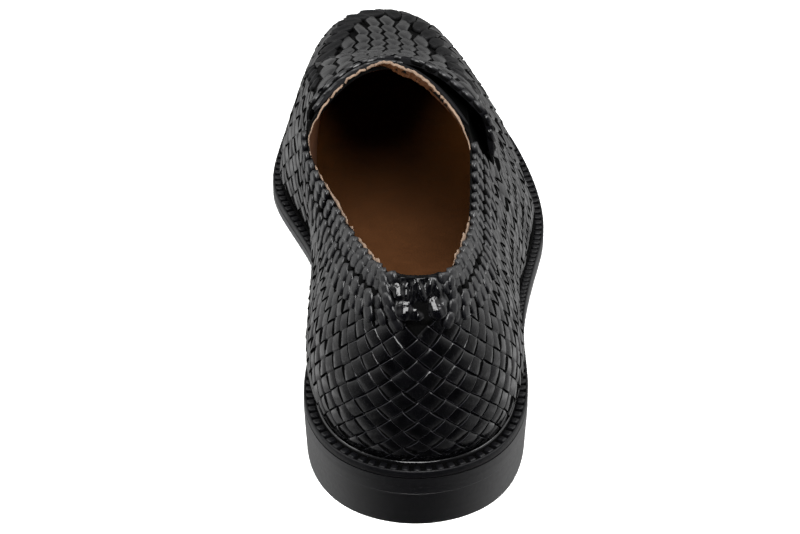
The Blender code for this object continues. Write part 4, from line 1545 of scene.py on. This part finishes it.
    def build_raw_edge(self) -> None:
        """Raw cut edge of the topline, torn a little, deeper where the tongue shows its inside."""
        collar = np.linspace(-self.form.throat_medial, self.form.throat_lateral, 300)
        q = np.linspace(1, 0, 90)[1:-1]
        ring, out, up = self.topline(collar, q)
        front = np.concatenate([np.zeros(len(collar)), np.sin(pi * q) ** 0.5])
        for _ in range(12):
            front = blurred(front)
        torn = np.random.default_rng(4).normal(0, 1, len(ring))
        slow = sum(np.roll(torn, k) for k in range(-2, 3)) / 5
        sink = np.exp(-(collar / 24.0) ** 4)
        for side, rise_from, rise_to, fall_from, fall_to, depth in RAW_SINK:
            along = side * collar
            sink = sink + ease(along, rise_from, rise_to) * (1 - ease(along, fall_from, fall_to)) * depth
        behind = 3.4 * np.concatenate([sink, np.zeros(len(q))])
        bare = np.concatenate([np.zeros(len(collar)), ease(q, 0.36, 0.6)]) * front
        skirt, back = -0.6 + 0.6 * front, -1.05 + 0.1 * front
        rows = []
        for share, height in RAW_SECTION:
            level = skirt + (back - skirt) * share + (0.1 + 0.9 * front) * slow
            rough = (slow * 1.5 + torn * 0.35) * (1.0 if height > 0 else 0.6) * (0.5 + front) - behind
            rows.append(ring + out * level[:, None] + up * (height + rough - 0.7 * (1 - front))[:, None])
        rows[-1] = rows[-1] - out * (2.4 * bare)[:, None]
        middle = ring + out * (skirt + back)[:, None] / 2 - up * (1.6 + behind)[:, None]
        data = thick_sheet(np.stack(rows, axis=1), np.stack([middle] * len(rows), axis=1), True)
        strips = len(rows) - 1
        data.finish[:len(ring) * strips].reshape(len(ring), strips)[:, -1] = 1
        self.bench.piece("raw_edge", data, [RAW_EDGE, WALL_LINING], Slot.WOVEN)

    def build_heel_binding(self) -> None:
        """Dark binding rolled over the topline behind the heel, uneven as it is by hand."""
        form, half = self.form, 19.0
        u = np.linspace(-half, half, 80)
        out, up = form.wall_normal(u, 0.98), unit(form.wall(u, 1.0) - form.wall(u, 0.97))
        ends = np.sqrt(np.clip(1 - (u / half) ** 6, 0.02, 1))
        size = 0.62 * ends * (1 + 0.16 * np.sin(u * 1.1) + 0.1 * np.sin(u * 2.3))
        path = form.wall(u, 1.0) - out * 0.3 - up * (0.9 + 0.3 * np.sin(u * 0.7))[:, None]
        self.bench.piece("heel_binding", sweep(path, out, up, ROLLED_BAND, size), [BINDING], Slot.WOVEN)

    def build_throat(self) -> None:
        """Flat binding along the throat, with strip ends over its inner half."""
        form, band_row = self.form, 0.022
        across = np.linspace(0.02, 0.98, 120)
        up = unit(form.vamp_top(0.042, across) - form.vamp_top(0.007, across))
        size = np.sqrt(np.clip(1 - ((2 * across - 1) / 0.96) ** 6, 0.02, 1))
        out = form.vamp_normal(np.full_like(across, band_row), across)
        data = sweep(form.vamp_top(band_row, across), out, up, FLAT_BAND, size)
        self.bench.piece("throat_binding", data, [BINDING], Slot.WOVEN)
        starts = ((0.034, 0.05), (0.054, 0.09))
        places = [(start, at) for start, first in starts for at in np.arange(first, 0.56, 0.085)]
        row, q = np.array(places).T
        out = form.vamp_normal(row, q)
        run = unit(form.vamp_top(row, q + 0.01) - form.vamp_top(row, q - 0.01))
        guides = Guides(form.vamp_top(row, q) + out * 0.2, turned(run, out, 14.0), out, np.ones(len(row)))
        strip = LaidForm("throat_strips", 7.6, 3.6, 2.0, 0.42, 0.16, 6, 0.45)
        strip.lay(self.bench, guides, BRAID_CALF, Slot.WOVEN)


# How far the strap's back edge stands off the upper: share of its length from the inner foot, and height
STRAP_GAPE: tuple[tuple[float, float], ...] = (
    (0.0, 0.0), (0.44, 0.0), (0.5, 0.3), (0.54, 0.9), (0.575, 1.7), (0.61, 2.3), (0.65, 2.9), (0.68, 3.6),
    (0.705, 4.2), (0.73, 4.3), (0.755, 3.4), (0.78, 2.0), (0.8, 0.9), (0.83, 0.2), (0.86, 0.0), (1.0, 0.0))


@dataclass
class SaddleStrap:
    """Saddle strap over the instep, woven like the quarters, its back edge whipped and standing off."""

    form: LoaferForm
    bench: Bench
    thick: float = 2.0
    rear: float = 0.06
    front: float = 0.37
    foot: float = 0.12
    gap: float = 0.5
    side_share: float = 11 / 36
    pitch: float = 3.9
    whip_pitch: float = 5.8

    def base(self, s: Array, c: Array) -> Array:
        """Upper's surface under the strap.

        Args:
            s: Share of the strap's width from its back edge.
            c: Share of its length from the inner foot.

        Returns:
            Points on a last axis of three.
        """
        form = self.form
        s, c = np.broadcast_arrays(np.asarray(s, float), np.asarray(c, float))
        w = self.rear + (self.front - self.rear) * s
        rise_in = self.foot + (1 - self.foot) * np.clip(c / self.side_share, 0, 1)
        rise_out = self.foot + (1 - self.foot) * np.clip((1 - c) / self.side_share, 0, 1)
        inner = form.wall(form.side_u(w, Side.MEDIAL), rise_in)
        outer = form.wall(form.side_u(w, Side.LATERAL), rise_out)
        q = np.clip((c - self.side_share) / (1 - 2 * self.side_share), 0, 1)
        top = form.vamp_top(w, q)
        picked = np.where((c < self.side_share)[..., None], inner, top)
        return np.where((c > 1 - self.side_share)[..., None], outer, picked)

    def sheet_at(self, s: Array, c: Array, lift: float) -> tuple[Array, Array]:
        """Points a given height over the upper, and normals.

        Args:
            s: Share of the strap's width from its back edge.
            c: Share of its length from the inner foot.
            lift: Height over the upper, before the back edge's gape.

        Returns:
            Points and outward normals.
        """
        s, c = np.broadcast_arrays(np.asarray(s, float), np.asarray(c, float))
        mid = np.clip(c, 0.03, 0.97)
        across = self.base(s, mid + 0.03) - self.base(s, mid - 0.03)
        along = self.base(s + 0.03, mid) - self.base(s - 0.03, mid)
        normal = unit(np.cross(across, along))
        gape = np.interp(c, *zip(*STRAP_GAPE)) * (1 - np.clip(s, 0, 1)) ** 2
        slim = 0.35 + 0.65 * np.clip(np.minimum(c, 1 - c) / 0.3, 0, 1)
        return self.base(s, c) + normal * (self.gap + gape + lift * slim)[..., None], normal

    def build(self) -> None:
        """Make the strap's body, its weave and its whipped back edge."""
        s = np.linspace(0, 1, 25)[:, None]
        c = np.linspace(1, 0, 121)[None, :]
        over, _ = self.sheet_at(s, c, self.thick - 0.6)
        under, _ = self.sheet_at(s, c, 0.0)
        body = self.bench.piece("strap_body", thick_sheet(over, under, False), [UNDERLAY_AND_SHADE], Slot.WOVEN)
        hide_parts("strap")
        self.build_weave()
        self.build_plait()
        self.build_whipping()
        self.build_binding()

    def build_plait(self) -> None:
        """Top of the strap: the vamp's columns carried on up to the throat."""
        plug = PlugLattice(self.form, margin=-0.8)

        def sheet(a: Array, b: Array) -> tuple[Array, Array]:
            """Points and normals of the strap's top.

            Args:
                a: The vamp's columns.
                b: The vamp's rows.

            Returns:
                Points and outward normals.
            """
            w, q = plug.places(a, b)
            s = np.clip((w - self.rear) / (self.front - self.rear), 0, 1)
            return self.sheet_at(s, self.side_share + q * (1 - 2 * self.side_share), self.thick - 0.6)

        data = VampPlait(seed=29).lay(sheet, *plug.cells(self.rear + 0.01, self.front - 0.01))
        self.bench.piece("strap_plait", data, [STRIP_CALF, UNDERLAY_AND_SHADE], Slot.WOVEN)

    def build_weave(self) -> None:
        """Weave of the strap's lifted outer side, in even crossings over its length and width."""
        c = np.linspace(0, 1, 201)
        length = run_length(self.sheet_at(0.5, c, self.thick)[0])
        width = run_length(self.sheet_at(np.linspace(0, 1, 41), 0.3, self.thick)[0])[-1]
        columns, rows = int(length[-1] / self.pitch), int(width / self.pitch)

        def sheet(a: Array, b: Array) -> tuple[Array, Array]:
            """Points and normals of the strap at lattice columns and rows."""
            share = np.interp(a * length[-1] / columns, length, c)
            return self.sheet_at(np.clip(b / rows, 0, 1), share, self.thick - 0.3)

        grids = np.meshgrid(np.arange(1, columns), np.arange(1, rows), indexing="ij")
        i, j = (grid.reshape(-1) for grid in grids)
        share = np.interp(i * length[-1] / columns, length, c)
        keep = ((i + j) % 2 == 0) & (share > 1 - self.side_share) & (share < 0.86)
        full = np.ones(keep.sum())
        data = StripWeave(seed=31).lay(sheet, i[keep].astype(float), j[keep].astype(float), full, full)
        self.bench.piece("strap_weave", data, [STRIP_CALF, UNDERLAY_AND_SHADE], Slot.WOVEN)

    def build_whipping(self) -> None:
        """Strips whipped round the strap's back edge, leaning more where it stands off."""
        parts = []
        for s, lean, start, end in ((0.0, 30.0, 0.55, 0.785), (0.03, 16.0, 0.31, 0.54)):
            c = np.linspace(start, end, 400)
            length = run_length(self.sheet_at(s, c, self.thick * 0.5)[0])
            at = np.interp(np.arange(2.0, length[-1], self.whip_pitch), length, c)
            points, out = self.sheet_at(s, at, self.thick * 0.5)
            run = unit(self.sheet_at(s, at + 0.005, 1.0)[0] - self.sheet_at(s, at - 0.005, 1.0)[0])
            parts.append((points, turned(run, out, lean), out, np.ones(len(at))))
        guides = Guides(*(np.concatenate(both) for both in zip(*parts)))
        whip = LaidForm("strap_whipping", 7.6, 3.8, 2.6, 0.66, 0.14, 5, 0.35)
        whip.lay(self.bench, guides, BRAID_CALF, Slot.WOVEN)

    def build_binding(self) -> None:
        """Dark binding along the stretch of the back edge that stands off."""
        c = np.linspace(0.46, 0.8, 120)
        path, out = self.sheet_at(0.0, c, self.thick * 0.5)
        up = unit(self.sheet_at(0.05, c, 1.0)[0] - self.sheet_at(0.0, c, 1.0)[0])
        size = np.sqrt(np.clip(1 - ((c - 0.63) / 0.172) ** 8, 0.02, 1))
        self.bench.piece("strap_binding", sweep(path, out, up, FOLDED_BAND, size), [BINDING], Slot.WOVEN)


@dataclass
class Sole:
    """Insole, storm welt, outsole, heel lift and heel block."""

    form: LoaferForm
    bench: Bench
    insole_in: float = 2.7
    insole_rise: float = 2.5
    rib_pitch: float = 3.9
    heel_top_out: float = 5.08
    heel_foot_out: float = 4.4
    steps: int = 360

    def build(self) -> None:
        """Make every piece under the upper."""
        self.build_insole()
        self.build_welt()
        self.build_ribs()
        self.build_outsole()
        self.build_heel()

    def around(self) -> Array:
        """Even distances round the feather line."""
        return np.arange(self.steps) * 2 * self.form.half / self.steps

    def build_insole(self) -> None:
        """Insole covered in brown leather, cupped a little at its rim."""
        form = self.form
        v = np.linspace(0.004, 0.996, 91)[:, None] * form.half
        s = np.linspace(-1, 1, 33)[None, :]
        rise = form.outsole + form.welt + self.insole_rise
        outer = form.outline(v, -self.insole_in, rise)
        inner = form.outline(2 * form.half - v, -self.insole_in, rise)
        top = inner + (outer - inner) * ((s + 1) / 2)[..., None]
        top[..., 2] += 1.4 * np.abs(s) ** 6 - 0.5
        low = top.copy()
        low[..., 2] = form.sole_z(low[..., 1]) + form.outsole + form.clear
        data = thick_sheet(top[:, ::-1], low[:, ::-1], False)
        piece = self.bench.piece("insole_cover", data, [LINING], Slot.INSOLE)
        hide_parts("insole")

    def build_welt(self) -> None:
        """Storm welt: a flat band and a rounded lip against the upper, high at the heel and low beyond it."""
        form, u = self.form, self.around()
        top = form.outsole + form.welt
        section = ((-2.0, 0.3 - form.welt), (5.0, 0.3 - form.welt), (5.2, 0.5 - form.welt), (5.2, -0.6),
                   (5.05, -0.2), (4.7, -0.05), (4.4, -0.15), (4.25, -1.0), (1.75, -1.0), (1.65, 0.5),
                   (1.45, 0.95), (1.15, 1.1), (0.8, 0.8), (0.4, 0.1), (-2.0, -0.1))
        round_heel = 1 - 0.75 * ease(np.minimum(u, 2 * form.half - u), 45.0, 80.0)
        rings = np.stack([form.outline(u, out, top + (rise * round_heel if rise > 0 else rise))
                          for out, rise in section], axis=1)
        ids = np.arange(rings.shape[0] * rings.shape[1]).reshape(rings.shape[:2])
        ids = np.concatenate([ids, ids[:, :1]], axis=1)
        # Painted shade: the trough, and the lip beyond the heel, take the underlay's black
        trough = np.array([rise < -0.9 and out < 4.5 for out, rise in section])
        lip = np.array([rise > 0 and out < 1.7 for out, rise in section])
        heel = (round_heel >= 0.6)[:, None]
        finish = np.where(lip[None, :], np.where(heel, 2, 1), trough[None, :].astype(int))
        data = MeshData(rings.reshape(-1, 3), grid_faces(ids, True), finish.reshape(-1))
        piece = self.bench.piece("storm_welt", data, [WELT_WAX, UNDERLAY_AND_SHADE, WELT_LIP], Slot.WELT)
        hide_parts("welt")

    def build_ribs(self) -> None:
        """Ribs pressed across the welt's flat band."""
        form, u = self.form, self.around()
        top = form.outsole + form.welt
        edge = form.outline(u, 3.9, 0.0)
        length = run_length(np.concatenate([edge, edge[:1]]))
        count = round(length[-1] / self.rib_pitch)
        at = np.interp(np.arange(count) * length[-1] / count, length, np.append(u, 2 * form.half))
        points = form.outline(at, 2.95, top - 0.95)
        along = np.concatenate([form.outward(at), np.zeros((count, 1))], axis=1)
        run = unit(form.outline(at + 0.5, 3.95, top) - form.outline(at - 0.5, 3.95, top))
        guides = Guides(points, along, unit(np.cross(along, run)), np.ones(count))
        LaidForm("welt_ribs", 3.2, 2.2, 1.9, 0.26, 0.03, 9).lay(self.bench, guides, WELT_WAX, Slot.WELT)

    def capped(self, rings: Array, finishes: list[Finish], name: str, slot: Slot) -> bpy.types.Object:
        """Close a stack of rings, each with matching halves, by rungs across the shoe.

        Args:
            rings: Points by place round the shoe and level.
            finishes: The piece's finishes.
            name: The piece's name.
            slot: The record's material slot.

        Returns:
            The new object.
        """
        count, levels = rings.shape[:2]
        ids = np.arange(count * levels).reshape(count, levels)
        half = count // 2
        k = np.arange(1, half - 1)
        faces = grid_faces(ids, True).tolist()
        for level, turn in ((0, 1), (-1, -1)):
            ring = ids[:, level]
            rungs = np.stack([ring[k], ring[-k], ring[-k - 1], ring[k + 1]], -1).tolist()
            rungs += [[int(ring[0]), int(ring[-1]), int(ring[1])],
                      [int(ring[half - 1]), int(ring[half + 1]), int(ring[half])]]
            faces += [face[::turn] for face in rungs]
        return self.bench.piece(name, MeshData(rings.reshape(-1, 3), faces), finishes, slot, sharp=35.0)

    def build_outsole(self) -> None:
        """Leather outsole, arched and sprung, its lower edge softened ahead of the heel."""
        form, u = self.form, self.around()
        soft = 0.03 + 0.97 * ease(np.minimum(u, 2 * form.half - u), 58.0, 74.0)
        section = ((0.9, 0.0), (0.3, 0.25), (0.0, 0.9), (0.0, 3.4), (0.05, form.outsole))
        rings = np.stack([form.outline(u, form.sole_out - cut * soft, rise) for cut, rise in section], axis=1)
        piece = self.capped(rings, [SOLE_EDGE], "sole_leather", Slot.EDGE)
        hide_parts("outsole")

    def heel_ring(self, out: float, z: float) -> Array:
        """Level ring of the heel: round the back along the sole edge, then across the hollow front face.

        Args:
            out: Distance out from the feather line.
            z: Height over the floor.

        Returns:
            Points of the ring.
        """
        form = self.form
        span = np.linspace(0.1, 0.5, 400) * form.half
        ends = []
        for u in (2 * form.half - span, span):
            ends.append(float(np.interp(form.heel_breast, form.outline(u, out, 0.0)[:, 1], u)))
        round_back = form.outline(np.linspace(ends[0] - 2 * form.half, ends[1], 121), out, 0.0)
        share = np.linspace(0, 1, 25)[1:-1, None]
        front = round_back[-1] + (round_back[0] - round_back[-1]) * share
        front[:, 1] -= form.breast_hollow * (1 - (2 * share[:, 0] - 1) ** 2)
        ring = np.concatenate([round_back, front])
        ring[:, 2] = z
        return ring

    def heel_piece(self, name: str, node: str, levels: tuple[tuple[float, float], ...], finish: LayeredEdge,
                   slot: Slot) -> None:
        """Loft one level piece of the heel and close it.

        Args:
            name: The piece's name.
            node: The solid that it replaces.
            levels: Distance out and height of each ring, from below.
            finish: Its finish.
            slot: The record's material slot.
        """
        rings = np.stack([self.heel_ring(out, z) for out, z in levels], axis=1)
        count, depth = rings.shape[:2]
        ids = np.arange(count * depth).reshape(count, depth)
        middle = self.form.heel_breast / 2
        hubs = np.array([[0.0, middle, levels[0][1]], [0.0, middle, levels[-1][1]]])
        low, high = count * depth, count * depth + 1
        after = np.roll(ids, -1, axis=0)
        faces = grid_faces(ids, True).tolist()
        faces += [[int(b), int(a), low] for a, b in zip(ids[:, 0], after[:, 0])]
        faces += [[int(a), int(b), high] for a, b in zip(ids[:, -1], after[:, -1])]
        data = MeshData(np.concatenate([rings.reshape(-1, 3), hubs]), faces)
        piece = self.bench.piece(name, data, [finish], slot, sharp=35.0)
        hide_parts(node)

    def build_heel(self) -> None:
        """Heel block with softened edges, and the thin lift over it."""
        height, top = self.form.heel_height, self.form.heel_height - self.form.heel_lift
        out, foot = self.heel_top_out, self.heel_foot_out
        lift = ((out - 0.03, top), (out, top + 0.03), (out, height - 0.06), (out - 0.03, height - 0.03))
        block = ((foot - 0.6, 0.0), (foot - 0.1, 0.25), (foot, 0.8), (out, top - 0.06),
                 (out - 0.03, top - 0.03))
        self.heel_piece("heel_lift_leather", "heel_lift", lift, HEEL_RUBBER, Slot.EDGE)
        self.heel_piece("heel_block_rubber", "heel_block", block, HEEL_RUBBER, Slot.HEEL)


class Ramp(Enum):
    """How brightness changes between two directions."""

    EVEN = "LINEAR"
    SOFT = "SMOOTHSTEP"


@dataclass(frozen=True)
class WallRamp:
    """How the studio's walls brighten along one axis of the direction, from start to end."""

    axis: str
    start: float
    end: float
    low: float
    high: float
    ramp: Ramp = Ramp.SOFT


# Walls of the studio: grey ahead, bright at both sides and low down, darker just over the floor
STUDIO_WALLS: dict[str, WallRamp] = {
    "ahead": WallRamp("Y", -0.7, 0.3, 0.0, 0.27),
    "left": WallRamp("X", -0.12, -0.85, 0.0, 1.38),
    "right": WallRamp("X", 0.12, 0.85, 0.0, 1.42),
    "beside": WallRamp("Y", -0.9, 0.7, 0.0, 1.0, Ramp.EVEN),
    "low": WallRamp("Z", -0.52, -0.3, 0.86, 0.34),
    "high": WallRamp("Z", -0.15, 0.3, 0.0, 0.6),
    "deep": WallRamp("Z", -0.58, -0.48, 0.36, 1.0),
}

@dataclass
class Studio:
    """White light table, soft boxes behind, beside and above, and the camera of the photograph."""

    bench: Bench
    elevation: float = 33.0
    yaw: float = 0.8
    distance: float = 1100.0
    focal_px: float = 3144.283
    photo_px: int = 800
    sensor_mm: float = 36.0
    target: tuple[float, float, float] = (-4.2857, 91.7401, 40.0)
    floor_half: float = 4.0
    light_aim: tuple[float, float, float] = (0.0, 0.0, 0.04)

    def build(self) -> None:
        """Set up floor, lights, world and camera."""
        self.build_floor()
        self.build_lights()
        self.build_world()
        self.build_camera()
        bpy.context.scene.view_settings.view_transform = "Standard"

    def build_floor(self) -> None:
        """Plain pale floor, kept out of the reflections as a cut-out photograph has none."""
        mesh = bpy.data.meshes.new("studio_floor")
        half = self.floor_half
        corners = [(-half, -half, 0.0), (half, -half, 0.0), (half, half, 0.0), (-half, half, 0.0)]
        mesh.from_pydata(corners, [], [(0, 1, 2, 3)])
        mesh.materials.append(self.bench.finish(LightTable()))
        floor = show("studio_floor", mesh)
        floor.visible_glossy = False

    def build_lights(self) -> None:
        """Soft boxes behind the camera, at both sides and overhead, and two small fills without a glint."""
        boxes = (("soft_box_key", (0.05, -0.83, 1.32), 0.8, 22.0),
                 ("soft_box_left", (-1.1, 0.15, 1.35), 0.7, 9.0),
                 ("soft_box_right", (1.1, 0.15, 1.35), 0.7, 9.0),
                 ("soft_box_over", (0.0, 0.4, 2.4), 3.0, 34.0),
                 ("fill_left", (-0.42, -0.95, 0.6), 0.2, 9.0),
                 ("fill_right", (0.42, -0.95, 0.6), 0.2, 9.0))
        for name, spot, size, watts in boxes:
            light = bpy.data.lights.new(name, "AREA")
            light.shape = "RECTANGLE"
            light.size, light.size_y = size, size
            light.energy = watts
            lamp = show(name, light)
            lamp.location = spot
            lamp.visible_glossy = not name.startswith("fill")
            lamp.rotation_euler = (Vector(self.light_aim) - Vector(spot)).to_track_quat("-Z", "Y").to_euler()

    def build_world(self) -> None:
        """Even studio walls: bright at both sides, grey ahead, dark behind the camera."""
        world = bpy.data.worlds.new("studio_walls")
        world.use_nodes = True
        tree = world.node_tree
        place = add_node(tree, "ShaderNodeTexCoord").outputs["Generated"]
        part = add_node(tree, "ShaderNodeSeparateXYZ", {"Vector": place}).outputs
        glow = {}
        for name, wall in STUDIO_WALLS.items():
            glow[name] = add_node(tree, "ShaderNodeMapRange", {
                "Value": part[wall.axis], "From Min": wall.start, "From Max": wall.end, "To Min": wall.low,
                "To Max": wall.high}, interpolation_type=wall.ramp.value).outputs[0]
        sides = add_node(tree, "ShaderNodeMath", {"Value": glow["left"], "Value_001": glow["right"]},
                         operation="ADD").outputs[0]
        tier = add_node(tree, "ShaderNodeMath", {
            "Value": glow["low"], "Value_001": glow["deep"], "Value_002": glow["high"]},
            operation="MULTIPLY_ADD").outputs[0]
        reach = add_node(tree, "ShaderNodeMath", {"Value": glow["beside"], "Value_001": tier},
                         operation="MULTIPLY").outputs[0]
        total = add_node(tree, "ShaderNodeMath", {
            "Value": sides, "Value_001": reach, "Value_002": glow["ahead"]},
            operation="MULTIPLY_ADD").outputs[0]
        back = tree.nodes["Background"].inputs
        tree.links.new(total, back["Strength"])
        back["Color"].default_value = linear("#ffffff")
        bpy.context.scene.world = world

    def build_camera(self) -> None:
        """Camera behind and above the heel, at the photograph's angle and framing of 800 by 534."""
        view = bpy.data.cameras.new("photo_camera")
        view.sensor_width = self.sensor_mm
        view.lens = self.sensor_mm * self.focal_px / self.photo_px
        camera = show("photo_camera", view)
        level = self.distance * cos(radians(self.elevation))
        offset = np.array([-level * sin(radians(self.yaw)), -level * cos(radians(self.yaw)),
                           self.distance * sin(radians(self.elevation))])
        camera.location = self.bench.local(np.array(self.target) + offset).tolist()
        camera.rotation_euler = Vector((-offset).tolist()).to_track_quat("-Z", "Y").to_euler()
        bpy.context.scene.camera = camera


def main() -> None:
    """Build the shoe's sub-assemblies and the studio."""
    logging.basicConfig(level=logging.INFO, format="%(message)s")
    form = LoaferForm()
    bench = Bench(form)
    for part in (Sole(form, bench), WovenUpper(form, bench), SaddleStrap(form, bench)):
        part.build()
        LOG.info("%s built", type(part).__name__)
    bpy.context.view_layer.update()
    Studio(bench).build()


if __name__ == "__main__":
    main()
